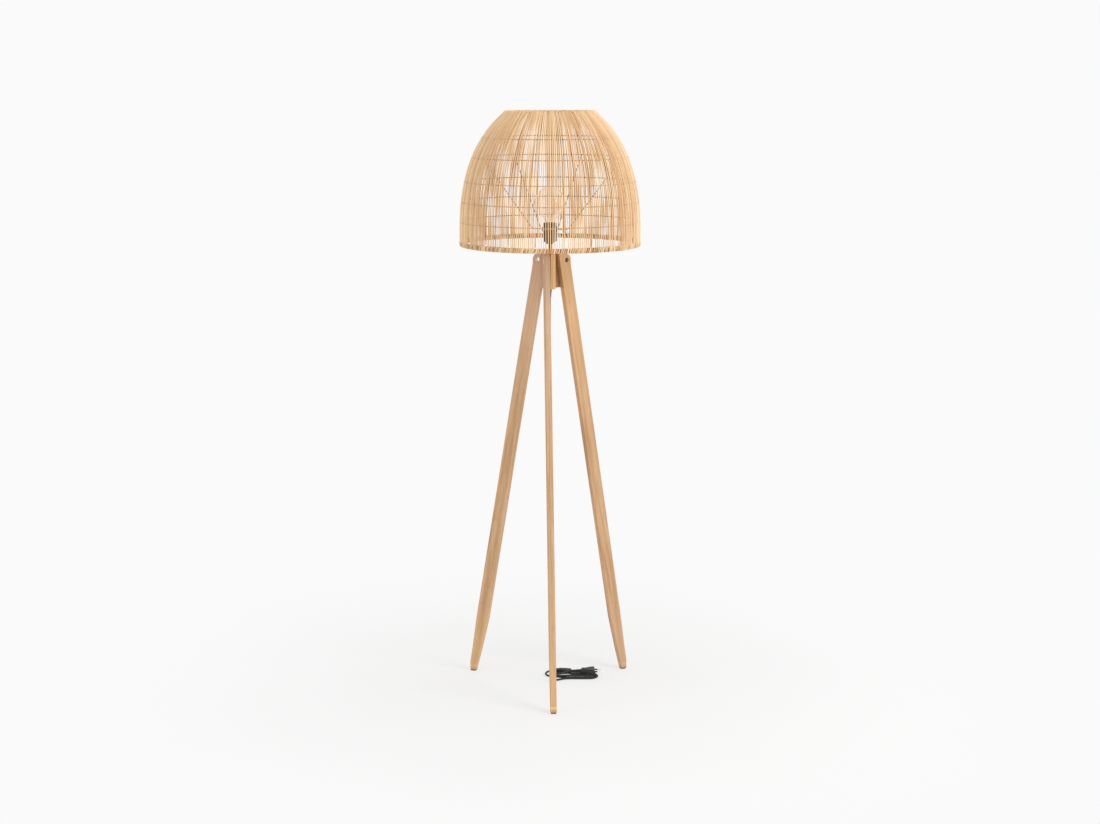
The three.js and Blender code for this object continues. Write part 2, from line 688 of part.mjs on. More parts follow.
function buildShade() {
  for (let panel = 0; panel < PANEL_COUNT; panel++) {
    add(`cane_panel_${numbered(panel)}`, panelGeometry(panel), finishes.cane);
  }

  hoopHeights.forEach((height, index) => {
    const centre = shadeInset(height, hoopDepth);
    add(`hoop_${index + 1}`, wireRing(centre.x, centre.y, HOOP_WIRE), finishes.wire);
  });

  const caneEnd = shadeInset(CANE_TOP, CANE_THICKNESS);
  const ringHeight = SHADE_TOP - MOUTH_RING_WIRE / 2;
  const ringReach = Math.sqrt((MOUTH_RING_WIRE / 2 + SEAT_GAP) ** 2 - (ringHeight - caneEnd.y) ** 2);
  const ringSides = 6;
  add('mouth_ring', wireRing(caneEnd.x - ringReach, ringHeight, MOUTH_RING_WIRE, ringSides), finishes.binding);

  const rimWireHeight = CANE_BOTTOM + HOOP_WIRE;
  const rimWire = RIM_RADIUS - hoopDepth;
  add('rim_wire', wireRing(rimWire, rimWireHeight, HOOP_WIRE), finishes.wire);

  // Binding: a channel that holds the wire and the lower ends of the canes
  const wall = RIM_BINDING_WALL;
  const flatFacet = Math.cos(Math.PI / RING_SEGMENTS);
  const outsideInner = (RIM_RADIUS + SEAT_GAP) / flatFacet;
  const outside = outsideInner + wall;
  const insideOuter = rimWire - HOOP_WIRE / 2 - SEAT_GAP;
  const inside = insideOuter - wall;
  const top = SHADE_BOTTOM + RIM_BINDING_HEIGHT;
  const floor = SHADE_BOTTOM + wall;
  add('rim_binding', turnedRing([
    [inside, SHADE_BOTTOM], [outsideInner, SHADE_BOTTOM], [outside, floor], [outside, top],
    [outsideInner, top], [outsideInner, floor], [insideOuter, floor], [insideOuter, top], [inside, top],
  ], RING_SEGMENTS), finishes.binding);

  buildRibs(top + SEAT_GAP + RIB_WIRE / 2);
}

// Ribs run inside the hoops, one behind each gap between bundles. Two neighbours are one wire,
// bent over like a hairpin just below the mouth ring.
function buildRibs(bottom) {
  const stations = 6;
  const bendSteps = 3;
  const bendAngle = RIB_BEND_RADIUS / shadeInset(CANE_TOP, ribDepth).x;
  const half = [];
  for (let i = 0; i < stations; i++) {
    half.push([0, bottom + (i / stations) * (CANE_TOP - RIB_BEND_RADIUS - bottom)]);
  }
  for (let i = 0; i <= bendSteps; i++) {
    const turn = (i / bendSteps) * (Math.PI / 2);
    half.push([bendAngle * (1 - Math.cos(turn)), CANE_TOP - RIB_BEND_RADIUS * (1 - Math.sin(turn))]);
  }
  const back = half.map(([along, height]) => [bundlePitch - along, height]).reverse();
  const course = [...half, [bundlePitch / 2, CANE_TOP], ...back];
  for (let rib = 0; rib < PANEL_COUNT; rib++) {
    const points = course.map(([along, height]) => {
      const azimuth = gapAzimuth(rib * BUNDLES_PER_PANEL) + along;
      const place = shadeInset(height, ribDepth);
      return new THREE.Vector3(place.x * Math.sin(azimuth), -place.x * Math.cos(azimuth), place.y);
    });
    const wire = wireAlong(new Route(points), RIB_WIRE, WIRE_SIDES, points.length - 1);
    add(`rib_${numbered(rib)}`, wire, finishes.wire);
  }
}

// Carrier: a clamped plate with three arms that end at a hoop

function buildCarrier() {
  const plateInner = HOLDER_DIAMETER / 2 + SEAT_GAP;
  const plateOuter = CARRIER_PLATE_DIAMETER / 2;
  const plateTop = CARRIER_BOTTOM + CARRIER_PLATE_THICKNESS;
  const plate = turnedRing([
    [plateInner, CARRIER_BOTTOM], [plateOuter, CARRIER_BOTTOM], [plateOuter, plateTop], [plateInner, plateTop],
  ]);
  let carrier = solidFrom(plate);
  const hoop = shadeInset(hoopHeights[CARRIER_HOOP], hoopDepth);
  const shoulder = new THREE.Vector2(CARRIER_FLAT_REACH, CARRIER_MIDDLE);
  const climb = hoop.clone().sub(shoulder).normalize();
  const tip = hoop.clone().addScaledVector(climb, -(HOOP_WIRE / 2 + SEAT_GAP));
  const afterBend = shoulder.clone().addScaledVector(climb, CARRIER_BEND);
  const armStart = SHADE_RING_DIAMETER / 2 + SEAT_GAP;
  const tongueStart = (plateInner + plateOuter) / 2;
  const tongueLength = armStart + CARRIER_BEND / 2 - tongueStart;
  for (let arm = 0; arm < CARRIER_ARM_COUNT; arm++) {
    const azimuth = radians(CARRIER_FIRST_ARM_DEG + (arm * 360) / CARRIER_ARM_COUNT);
    const at = (reach, height) => new THREE.Vector3(
      reach * Math.sin(azimuth), -reach * Math.cos(azimuth), height,
    );
    const bend = new THREE.QuadraticBezierCurve3(
      at(shoulder.x - CARRIER_BEND, shoulder.y), at(shoulder.x, shoulder.y), at(afterBend.x, afterBend.y),
    );
    const bendSteps = 4;
    const armSides = 6;
    const places = [at(armStart, CARRIER_MIDDLE), ...bend.getPoints(bendSteps), at(tip.x, tip.y)];
    carrier = carrier.add(solidFrom(tubeThrough(places, CARRIER_WIRE, armSides)));

    // A flat tongue joins the arm to the plate between the two shade rings.
    const strip = new THREE.BoxGeometry(CARRIER_WIRE, tongueLength, CARRIER_PLATE_THICKNESS)
      .translate(0, -(tongueStart + tongueLength / 2), CARRIER_MIDDLE)
      .rotateZ(azimuth);
    carrier = carrier.add(solidFrom(strip));
  }
  add('shade_carrier', geometryFrom(carrier), finishes.wire);
}

// Cord: from the outlet straight down, then along the floor to the switch

const leadPoints = [
  [0, 0, CORD_EXIT], [0, 0, CORD_EXIT - 3 * CORD_DIAMETER], [0.3, 0.2, 800], [1.2, 0.8, 500],
  [2.2, 1.5, 250], [2.8, 1.9, 110], [3, 2, 60], [3.3, 2.4, 46], [4.3, 3.4, 33.5], [6.9, 5.8, 20.5],
  [11.2, 9.6, 10], [17.4, 14.8, 4.2], [24.6, 20.5, CORD_FLOOR], [33, 25.8, CORD_FLOOR],
  [44, 29.6, CORD_FLOOR], [58, 30.8, CORD_FLOOR], [74, 30.6, CORD_FLOOR], [90, 30.6, CORD_FLOOR],
  [107, 31, CORD_FLOOR], [117.8, 33.9, CORD_FLOOR], [125.6, 41.8, CORD_FLOOR],
  [128.5, 52.5, CORD_FLOOR], [125.6, 63.3, CORD_FLOOR], [117.8, 71.6, CORD_FLOOR],
  [107, 75.4, CORD_FLOOR], [94, 77.8, CORD_FLOOR], [82, 80, 3.2], [73, 81.2, 4.9],
  [65, SWITCH_Y, SWITCH_AXIS], [SWITCH_LEFT + SWITCH_LENGTH + SEAT_GAP, SWITCH_Y, SWITCH_AXIS],
];

function buildLead() {
  const route = new Route(leadPoints.map((point) => new THREE.Vector3(...point)));
  const steps = (leadPoints.length - 1) * LEAD_STEPS_PER_POINT;
  add('cord_lead', wireAlong(route, CORD_DIAMETER, CORD_SIDES, steps), finishes.black);
  console.log('lead: length', Math.round(route.getLength()), 'mm');
}

// Hank: long loops in two layers, each climbing along its back run, from the switch to the plug

const smooth = (share) => share * share * (3 - 2 * share);
const clampShare = (share) => Math.min(1, Math.max(0, share));

function waistAt(x) {
  const along = clampShare((x - HANK_LEFT) / (HANK_RIGHT - HANK_LEFT));
  return HANK_HALF_WIDTH - HANK_WAIST * Math.sin(Math.PI * along) ** 2;
}

// One loop from the left end of its front run round to the same place a layer higher.
function loopPoints(loop) {
  const base = CORD_FLOOR + loop * LAYER_PITCH;
  const length = HANK_RIGHT - HANK_LEFT;
  const climbStartShare = 0.3;
  const points = [];
  for (let i = 0; i < RUN_STEPS; i++) {
    const x = HANK_LEFT + (i / RUN_STEPS) * length;
    points.push([x, HANK_MIDDLE_Y - waistAt(x), base]);
  }
  for (let i = 0; i < FOLD_STEPS; i++) {
    const angle = -Math.PI / 2 + (i / FOLD_STEPS) * Math.PI;
    points.push([
      HANK_RIGHT + HANK_HALF_WIDTH * Math.cos(angle),
      HANK_MIDDLE_Y + HANK_HALF_WIDTH * Math.sin(angle), base,
    ]);
  }
  for (let i = 0; i < RUN_STEPS; i++) {
    const along = i / RUN_STEPS;
    const x = HANK_RIGHT - along * length;
    const climb = smooth(clampShare((along - climbStartShare) / (1 - climbStartShare)));
    points.push([x, HANK_MIDDLE_Y + waistAt(x), base + climb * LAYER_PITCH]);
  }
  for (let i = 0; i < FOLD_STEPS; i++) {
    const angle = Math.PI / 2 + (i / FOLD_STEPS) * Math.PI;
    points.push([
      HANK_LEFT + HANK_HALF_WIDTH * Math.cos(angle),
      HANK_MIDDLE_Y + HANK_HALF_WIDTH * Math.sin(angle), base + LAYER_PITCH,
    ]);
  }
  return points;
}

function hankPoints() {
  const points = [];
  // Out of the switch, then a fold back towards the front
  const start = SWITCH_LEFT - SEAT_GAP;
  const foldX = start - CORD_DIAMETER;
  const foldY = SWITCH_Y - HANK_START_FOLD_RADIUS;
  points.push([start, SWITCH_Y, SWITCH_AXIS]);
  for (let i = 0; i <= FOLD_STEPS; i++) {
    const along = i / FOLD_STEPS;
    const angle = Math.PI / 2 + along * Math.PI;
    points.push([
      foldX + HANK_START_FOLD_RADIUS * Math.cos(angle),
      foldY + HANK_START_FOLD_RADIUS * Math.sin(angle),
      SWITCH_AXIS + (CORD_FLOOR - SWITCH_AXIS) * smooth(along),
    ]);
  }
  // Sweep on to the first front run
  const sweepSteps = 5;
  const sweepY = foldY - HANK_START_FOLD_RADIUS;
  for (let i = 1; i < sweepSteps; i++) {
    const along = i / sweepSteps;
    const x = foldX + along * (HANK_START_SWEEP_END - foldX);
    const frontY = HANK_MIDDLE_Y - waistAt(HANK_START_SWEEP_END);
    points.push([x, sweepY + (frontY - sweepY) * smooth(along), CORD_FLOOR]);
  }
  for (let loop = 0; loop < HANK_LOOPS; loop++) {
    const loopRun = loopPoints(loop);
    points.push(...(loop === 0 ? loopRun.filter(([x], i) => i >= RUN_STEPS || x >= HANK_START_SWEEP_END) : loopRun));
  }
  // Off the top of the hank to the plug
  const endX = PLUG_LEFT - SEAT_GAP - PLUG_RELIEF_LENGTH - SEAT_GAP;
  const straightX = endX - CORD_DIAMETER;
  const topHeight = CORD_FLOOR + HANK_LOOPS * LAYER_PITCH;
  points.push([HANK_LEFT, HANK_MIDDLE_Y - HANK_HALF_WIDTH, topHeight]);
  const endSteps = 4;
  for (let i = 1; i <= endSteps; i++) {
    const along = i / endSteps;
    const x = HANK_END_SWEEP_START + along * (straightX - HANK_END_SWEEP_START);
    const y = HANK_MIDDLE_Y - HANK_HALF_WIDTH * (1 - smooth(along));
    points.push([x, y, topHeight + (PLUG_AXIS - topHeight) * smooth(along)]);
  }
  points.push([endX, HANK_MIDDLE_Y, PLUG_AXIS]);
  return points.map((point) => new THREE.Vector3(...point));
}

// A tube whose sections stand square to the route, joined ring to ring.
function tubeThrough(points, diameter, sides) {
  const positions = [];
  const faces = [];
  const up = new THREE.Vector3(0, 0, 1);
  points.forEach((point, index) => {
    const before = points[Math.max(0, index - 1)];
    const after = points[Math.min(points.length - 1, index + 1)];
    const ahead = after.clone().sub(before).normalize();
    const across = new THREE.Vector3().crossVectors(ahead, up).normalize();
    const over = new THREE.Vector3().crossVectors(across, ahead);
    for (const { x, y } of polygon(diameter / 2, sides, Math.PI / sides)) {
      const place = point.clone().addScaledVector(across, x).addScaledVector(over, y);
      positions.push(place.x, place.y, place.z);
    }
  });
  for (let ring = 0; ring + 1 < points.length; ring++) {
    for (let side = 0; side < sides; side++) {
      const next = (side + 1) % sides;
      const [a, b] = [ring * sides + side, ring * sides + next];
      const [c, d] = [b + sides, a + sides];
      faces.push(a, c, b, a, d, c);
    }
  }
  const lastRing = (points.length - 1) * sides;
  for (let side = 1; side + 1 < sides; side++) {
    faces.push(0, side, side + 1);
    faces.push(lastRing, lastRing + side + 1, lastRing + side);
  }
  const geometry = new THREE.BufferGeometry();
  geometry.setAttribute('position', new THREE.Float32BufferAttribute(positions, 3));
  geometry.setIndex(faces);
  geometry.computeVertexNormals();
  return geometry;
}

// The least space that the route leaves between two of its turns.
function leastSelfGap(points, diameter) {
  const route = new THREE.CatmullRomCurve3(points);
  const spots = route.getSpacedPoints(points.length * 6);
  const apart = Math.ceil((diameter * 3) / (route.getLength() / spots.length));
  let least = Infinity;
  for (let i = 0; i < spots.length; i++) {
    for (let j = i + apart; j < spots.length; j++) {
      least = Math.min(least, spots[i].distanceTo(spots[j]) - diameter);
    }
  }
  return { least, length: route.getLength() };
}

function buildHank() {
  const points = hankPoints();
  add('cord_hank', tubeThrough(points, CORD_DIAMETER, HANK_SIDES), finishes.black);
  const { least, length } = leastSelfGap(points, CORD_DIAMETER);
  console.log('hank: length', Math.round(length), 'mm, least gap to itself', least.toFixed(2), 'mm');
}

// Switch: two shells and a rocker that stands tilted at rest

function switchOutline() {
  const half = SWITCH_LENGTH / 2;
  const width = SWITCH_WIDTH / 2;
  const end = SWITCH_END_WIDTH / 2;
  const outline = new THREE.Shape();
  outline.moveTo(-half, -end);
  outline.quadraticCurveTo(-half / 2, -width, 0, -width);
  outline.quadraticCurveTo(half / 2, -width, half, -end);
  outline.lineTo(half, end);
  outline.quadraticCurveTo(half / 2, width, 0, width);
  outline.quadraticCurveTo(-half / 2, width, -half, end);
  outline.closePath();
  return outline;
}

function buildSwitch() {
  const middleX = SWITCH_LEFT + SWITCH_LENGTH / 2;
  const shell = (outline, bottom, height) => new THREE.ExtrudeGeometry(outline, {
    depth: height - 2 * SWITCH_BEVEL,
    curveSegments: 4,
    bevelThickness: SWITCH_BEVEL,
    bevelSize: SWITCH_BEVEL,
    bevelOffset: -SWITCH_BEVEL,
    bevelSegments: 1,
  }).translate(middleX, SWITCH_Y, bottom + SWITCH_BEVEL);

  add('switch_base', shell(switchOutline(), SWITCH_BOTTOM, SWITCH_BASE_HEIGHT), finishes.black);

  const coverBottom = SWITCH_BOTTOM + SWITCH_BASE_HEIGHT + SEAT_GAP;
  const coverTop = SWITCH_BOTTOM + SWITCH_HEIGHT;
  const windowLength = ROCKER_LENGTH + 2 * ROCKER_WINDOW_MARGIN;
  const windowWidth = ROCKER_WIDTH + 2 * SEAT_GAP;
  const windowCut = new THREE.BoxGeometry(windowLength, windowWidth, SWITCH_HEIGHT + 2 * CUT_OVERRUN)
    .translate(middleX, SWITCH_Y, coverBottom + SWITCH_HEIGHT / 2);
  const cover = solidFrom(shell(switchOutline(), coverBottom, coverTop - coverBottom))
    .subtract(solidFrom(windowCut));
  add('switch_cover', geometryFrom(cover), finishes.black);

  // The rocker's side view: raised ends, a dip in the middle and a round belly under it
  const half = ROCKER_LENGTH / 2;
  const belly = ROCKER_BELLY_WIDTH / 2;
  const side = new THREE.Shape();
  side.moveTo(-half, ROCKER_END_RISE);
  side.lineTo(-half, ROCKER_END_RISE - ROCKER_END_THICKNESS);
  side.lineTo(-belly, -ROCKER_BELLY_DROP / 2);
  side.lineTo(0, -ROCKER_BELLY_DROP);
  side.lineTo(belly, -ROCKER_BELLY_DROP / 2);
  side.lineTo(half, ROCKER_END_RISE - ROCKER_END_THICKNESS);
  side.lineTo(half, ROCKER_END_RISE);
  side.quadraticCurveTo(half / 2, ROCKER_DIP_RISE, 0, ROCKER_DIP_RISE);
  side.quadraticCurveTo(-half / 2, ROCKER_DIP_RISE, -half, ROCKER_END_RISE);
  const rocker = new THREE.ExtrudeGeometry(side, {
    depth: ROCKER_WIDTH, curveSegments: 3, bevelEnabled: false,
  })
    .translate(0, 0, -ROCKER_WIDTH / 2)
    .rotateX(Math.PI / 2)
    .rotateY(radians(-ROCKER_TILT_DEG))
    .translate(middleX, SWITCH_Y, coverTop - ROCKER_PIVOT_DROP);
  add('switch_rocker', rocker, finishes.black);
}

// Plug: lies flat on the hank

function buildPlug() {
  const face = PLUG_FACE_WIDTH / 2;
  const neck = PLUG_NECK_WIDTH / 2;
  const outline = new THREE.Shape();
  outline.moveTo(0, -neck);
  outline.quadraticCurveTo(PLUG_LENGTH / 3, -neck, PLUG_LENGTH / 2, -(face + neck) / 2);
  outline.quadraticCurveTo((PLUG_LENGTH * 2) / 3, -face, PLUG_LENGTH, -face);
  outline.lineTo(PLUG_LENGTH, face);
  outline.quadraticCurveTo((PLUG_LENGTH * 2) / 3, face, PLUG_LENGTH / 2, (face + neck) / 2);
  outline.quadraticCurveTo(PLUG_LENGTH / 3, neck, 0, neck);
  outline.closePath();
  const body = new THREE.ExtrudeGeometry(outline, {
    depth: PLUG_THICKNESS - 2 * PLUG_BEVEL,
    curveSegments: 3,
    bevelThickness: PLUG_BEVEL,
    bevelSize: PLUG_BEVEL,
    bevelOffset: -PLUG_BEVEL,
    bevelSegments: 1,
  }).translate(PLUG_LEFT, HANK_MIDDLE_Y, PLUG_BOTTOM + PLUG_BEVEL);
  add('plug_body', body, finishes.black);

  const alongCord = (geometry, x, y) => geometry.rotateY(Math.PI / 2).translate(x, y, PLUG_AXIS);
  const thick = PLUG_RELIEF_DIAMETER / 2;
  const thin = (CORD_DIAMETER + RELIEF_END_DIAMETER) / 4;
  const relief = turned([
    [0, 0], [thin, 0], [thin, CORD_DIAMETER / 2], [thick, PLUG_RELIEF_LENGTH], [0, PLUG_RELIEF_LENGTH],
  ], SMALL_SEGMENTS);
  add('plug_relief', alongCord(relief, PLUG_LEFT - SEAT_GAP - PLUG_RELIEF_LENGTH, HANK_MIDDLE_Y), finishes.black);

  const pin = PLUG_PIN_DIAMETER / 2;
  for (const [name, side] of [['front', -1], ['rear', 1]]) {
    const shape = turned([
      [0, 0], [pin, 0], [pin, PLUG_PIN_LENGTH - pin / 2], [pin / 2, PLUG_PIN_LENGTH], [0, PLUG_PIN_LENGTH],
    ], SMALL_SEGMENTS);
    const y = HANK_MIDDLE_Y + (side * PLUG_PIN_SPACING) / 2;
    add(`plug_pin_${name}`, alongCord(shape, PLUG_LEFT + PLUG_LENGTH + SEAT_GAP, y), finishes.steel);
  }
}

buildLegs();
buildHub();
buildStem();
buildLampholder();
buildBulb();
buildShade();
buildCarrier();
buildLead();
buildHank();
buildSwitch();
buildPlug();

export default lamp;
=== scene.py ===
# %% [markdown]
# # A floor lamp with a cage shade of canes
#
# Three sawn planks lean in to a wooden hub. A threaded tube stands on the hub and carries a black
# lampholder, and a domed shade of two hundred and fifty thin canes hangs on the holder by a wire
# carrier. A black cord drops from the hub to the floor and lies there in a hank, with a switch
# and a plug on it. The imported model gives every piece's place, so the scene starts from it.

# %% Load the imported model
import random
from math import atan2, copysign, cos, hypot, pi, radians, sin, tan

import bmesh
import bpy
import numpy as np
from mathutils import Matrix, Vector


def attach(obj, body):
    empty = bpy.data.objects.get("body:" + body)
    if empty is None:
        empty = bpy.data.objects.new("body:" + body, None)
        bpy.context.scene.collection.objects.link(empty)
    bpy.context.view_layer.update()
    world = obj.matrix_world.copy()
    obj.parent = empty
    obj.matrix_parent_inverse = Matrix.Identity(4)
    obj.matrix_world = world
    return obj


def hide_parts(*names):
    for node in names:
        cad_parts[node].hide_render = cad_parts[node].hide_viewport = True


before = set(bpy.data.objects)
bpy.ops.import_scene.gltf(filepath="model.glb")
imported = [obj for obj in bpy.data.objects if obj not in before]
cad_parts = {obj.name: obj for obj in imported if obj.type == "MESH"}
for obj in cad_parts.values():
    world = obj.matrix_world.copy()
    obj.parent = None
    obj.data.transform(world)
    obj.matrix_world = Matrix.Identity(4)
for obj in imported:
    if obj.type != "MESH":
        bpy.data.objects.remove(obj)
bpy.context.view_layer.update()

MM = 0.001
UP = Vector((0, 0, 1))


def mm(*values):
    """Millimetres, as the metres that Blender counts in."""
    return [value * MM for value in values]


# %% [markdown]
# ## Camera
#
# The photo was taken from 4.67 m away at about the height of the shade, looking down ten degrees.
# A long lens keeps the legs from spreading. The camera comes first, because every later
# comparison with the photo depends on it.

# %% Camera
CAMERA_DISTANCE, CAMERA_HEIGHT = 4.6705, 1.5973
CAMERA_TILT = radians(79.614)
LENS, SENSOR_WIDTH = 59.386, 36

bpy.ops.object.select_all(action="DESELECT")
bpy.ops.object.camera_add(
    location=(0, -CAMERA_DISTANCE, CAMERA_HEIGHT), rotation=(CAMERA_TILT, 0, 0))
camera = bpy.context.object
camera.name = "photo_camera"
camera.data.lens = LENS
camera.data.sensor_width = SENSOR_WIDTH
bpy.context.scene.camera = camera
print("camera at", tuple(round(v, 3) for v in camera.location))


# %% [markdown]
# ## Colours
#
# Colours are written as they look on a screen, from 0 to 255, and turned into the linear values
# that the shaders expect. The view transform is Standard, so a lit surface comes out about as it
# is written here.

# %% Colour helper
def screen(red, green, blue):
    """A colour as it looks on a screen, turned into linear values."""
    def linear(value):
        value /= 255
        return value / 12.92 if value <= 0.04045 else ((value + 0.055) / 1.055) ** 2.4
    return (linear(red), linear(green), linear(blue), 1)


bpy.context.scene.view_settings.view_transform = "Standard"
print("middle grey is", round(screen(128, 128, 128)[0], 3), "in linear values")


# %% [markdown]
# ## Node groups
#
# Three effects are shared. Grain draws long streaks and fine pores along one axis of the piece.
# Mottle breaks an even colour up with soft patches. Tooth is the fine relief of moulded plastic
# or of a dull metal. Each is a group that gives out only colours, roughness and heights. The
# shader itself stays in the material, where the export can read it.

# %% Node helpers
def feed(tree, sockets, values):
    """Gives each of these sockets its value, or links an output to it."""
    for label, value in values.items():
        if isinstance(value, bpy.types.NodeSocket):
            tree.links.new(value, sockets[label])
        else:
            sockets[label].default_value = value


def put(tree, kind, values=None, **settings):
    """Adds a node. settings are its properties, and values go into its sockets."""
    node = tree.nodes.new("ShaderNode" + kind)
    for key, value in settings.items():
        setattr(node, key, value)
    feed(tree, node.inputs, values or {})
    return node


def mixed(tree, factor, first, second, blend="MIX"):
    """Mixes two colours."""
    values = {0: factor, 6: first, 7: second}
    return put(tree, "Mix", values, data_type="RGBA", blend_type=blend).outputs[2]


def spread(tree, value, low, high, out_low=0, out_high=1):
    """Spreads the values from low to high over another range."""
    return put(tree, "MapRange", {
        "Value": value, "From Min": low, "From Max": high, "To Min": out_low, "To Max": out_high,
    }).outputs["Result"]


def maths(tree, operation, first, second):
    """One sum with two values."""
    return put(tree, "Math", {0: first, 1: second}, operation=operation).outputs[0]


def noise(tree, vector, scale, detail, roughness=0.5, distortion=0):
    """Soft random clouds, from 0 to 1."""
    return put(tree, "TexNoise", {
        "Vector": vector, "Scale": scale, "Detail": detail, "Roughness": roughness,
        "Distortion": distortion,
    }).outputs["Fac"]


def mapping(tree, vector, scale=(1, 1, 1), rotation=(0, 0, 0)):
    """Stretches and turns a pattern."""
    values = {"Vector": vector, "Scale": scale, "Rotation": rotation}
    return put(tree, "Mapping", values).outputs["Vector"]


def new_group(name, taken, given):
    """A node group, whose inputs and outputs are named with their kinds."""
    group = bpy.data.node_groups.new(name, "ShaderNodeTree")
    for side, sockets in (("INPUT", taken), ("OUTPUT", given)):
        for label, kind in sockets.items():
            group.interface.new_socket(label, in_out=side, socket_type="NodeSocket" + kind)
    first, last = group.nodes.new("NodeGroupInput"), group.nodes.new("NodeGroupOutput")
    return group, first.outputs, last.inputs


# %% Grain group
grain, taken, given = new_group(
    "grain", {"Vector": "Vector", "Pale": "Color", "Dark": "Color"},
    {"Color": "Color", "Roughness": "Float", "Height": "Float"})
along = mapping(grain, taken["Vector"], (1, 1, 0.045))
band = spread(grain, noise(grain, along, 95, 3, 0.55, 0.4), 0.38, 0.68)
streak = spread(grain, noise(grain, along, 620, 4, 0.7), 0.35, 0.7)
pores = {"Vector": mapping(grain, taken["Vector"], (1, 1, 0.09)), "Scale": 900}
pore = spread(grain, put(grain, "TexVoronoi", pores).outputs["Distance"], 0.12, 0.3, 1, 0)
amount = maths(
    grain, "ADD", maths(grain, "MULTIPLY", band, 0.55), maths(grain, "MULTIPLY", streak, 0.35))
amount = maths(grain, "ADD", amount, maths(grain, "MULTIPLY", pore, 0.12))
cloud = spread(grain, noise(grain, taken["Vector"], 7, 2), 0.3, 0.7, 0.94, 1.04)
tone = put(grain, "CombineColor", {"Red": cloud, "Green": cloud, "Blue": cloud})
colour = mixed(grain, amount, taken["Pale"], taken["Dark"])
feed(grain, given, {
    "Color": mixed(grain, 1, colour, tone.outputs["Color"], "MULTIPLY"),
    "Roughness": spread(grain, streak, 0, 1, 0.5, 0.68),
    "Height": maths(grain, "SUBTRACT", maths(grain, "MULTIPLY", streak, 0.5), pore),
})

# %% Mottle group
mottle, taken, given = new_group(
    "mottle", {"Vector": "Vector", "Base": "Color", "Patch": "Color", "Scale": "Float"},
    {"Color": "Color"})
patches = spread(mottle, noise(mottle, taken["Vector"], taken["Scale"], 5, 0.65), 0.4, 0.65)
feed(mottle, given, {"Color": mixed(mottle, patches, taken["Base"], taken["Patch"])})

# %% Tooth group
tooth, taken, given = new_group(
    "tooth", {"Vector": "Vector", "Scale": "Float", "Smooth": "Float", "Dull": "Float"},
    {"Roughness": "Float", "Height": "Float"})
hands = noise(tooth, taken["Vector"], 45, 4)
feed(tooth, given, {
    "Roughness": spread(tooth, hands, 0.35, 0.65, taken["Smooth"], taken["Dull"]),
    "Height": noise(tooth, taken["Vector"], taken["Scale"], 3),
})
print("groups:", len(bpy.data.node_groups))


# %% [markdown]
# ## Finishes
#
# The planks are a pale, slightly pink wood with quiet grain, oiled rather than lacquered. Their
# grain runs along each plank, so each leg has its own material, whose Mapping node turns the
# pattern to the plank's lean. The canes are the same tone but each has its own tint. A material
# for each cane would be wasteful, so an attribute on the mesh carries the tint.

# %% Material helpers
def new_material(name):
    """A material with its node tree and its shader."""
    material = bpy.data.materials.new(name)
    material.use_nodes = True
    tree = material.node_tree
    return material, tree, tree.nodes["Principled BSDF"]


def on_object(tree):
    """Object coordinates, which stay with the piece as its body moves."""
    return put(tree, "TexCoord").outputs["Object"]


def relief(tree, height, strength, distance):
    """Turns heights into a bumpy surface."""
    values = {"Strength": strength, "Distance": distance, "Height": height}
    return put(tree, "Bump", values).outputs["Normal"]


# %% Wood material
def leg_zones(tree, colour, head_shade_tone, foot_tone, foot_highlight_and_end):
    """Paints shade on the head and a highlight band above the foot, shifts the foot's tone and
    darkens its end.
    """
    height = put(tree, "SeparateXYZ", {"Vector": on_object(tree)}).outputs["Z"]
    # Painted shade: the head turns pinker and greyer, as in the shade under the lampshade.
    colour = mixed(tree, spread(tree, height, 0.75, 1.12, 0, 0.6), colour, screen(*head_shade_tone))
    colour = mixed(tree, spread(tree, height, 0.2, 0.06, 0, 0.6), colour, screen(*foot_tone))
    # Painted highlight: a pale band about 13 to 19 mm above the floor, where the foot's angled cut
    # catches the light. Below it the end is darkened.
    band = maths(
        tree, "MULTIPLY", spread(tree, height, 0.012, 0.014), spread(tree, height, 0.020, 0.018))
    colour = mixed(tree, maths(tree, "MULTIPLY", band, foot_highlight_and_end), colour, screen(246, 210, 152))
    end = maths(tree, "MULTIPLY", spread(tree, height, 0.008, 0.004), 0.35 + foot_highlight_and_end / 2)
    return mixed(tree, end, colour, screen(150, 118, 70))


def wood_material(name, pale, dark, direction=UP, zones=None):
    """Wood whose grain runs along a direction of the lamp."""
    material, tree, shader = new_material(name)
    turn = Vector(direction).rotation_difference(UP).to_euler()
    where = mapping(tree, on_object(tree), rotation=turn)
    values = {"Vector": where, "Pale": screen(*pale), "Dark": screen(*dark)}
    wood = put(tree, "Group", values, node_tree=grain).outputs
    colour = leg_zones(tree, wood["Color"], *zones) if zones else wood["Color"]
    feed(tree, shader.inputs, {
        "Base Color": colour, "Roughness": wood["Roughness"], "Specular IOR Level": 0.35,
        "Normal": relief(tree, wood["Height"], 0.25, 0.0002),
    })
    return material


# %% Wood finishes
def leg_axes(azimuth_deg):
    """The directions along a leg's reach and through its thickness."""
    azimuth = radians(azimuth_deg)
    return (Vector((sin(azimuth), -cos(azimuth), 0)),
            Vector((-cos(azimuth), -sin(azimuth), 0)))


LEG_LEAN = 0.1761
LEGS = {"front": leg_axes(5.09), "right": leg_axes(125.09), "left": leg_axes(245.09)}
HUB_TONES = (238, 195, 144), (196, 142, 90)

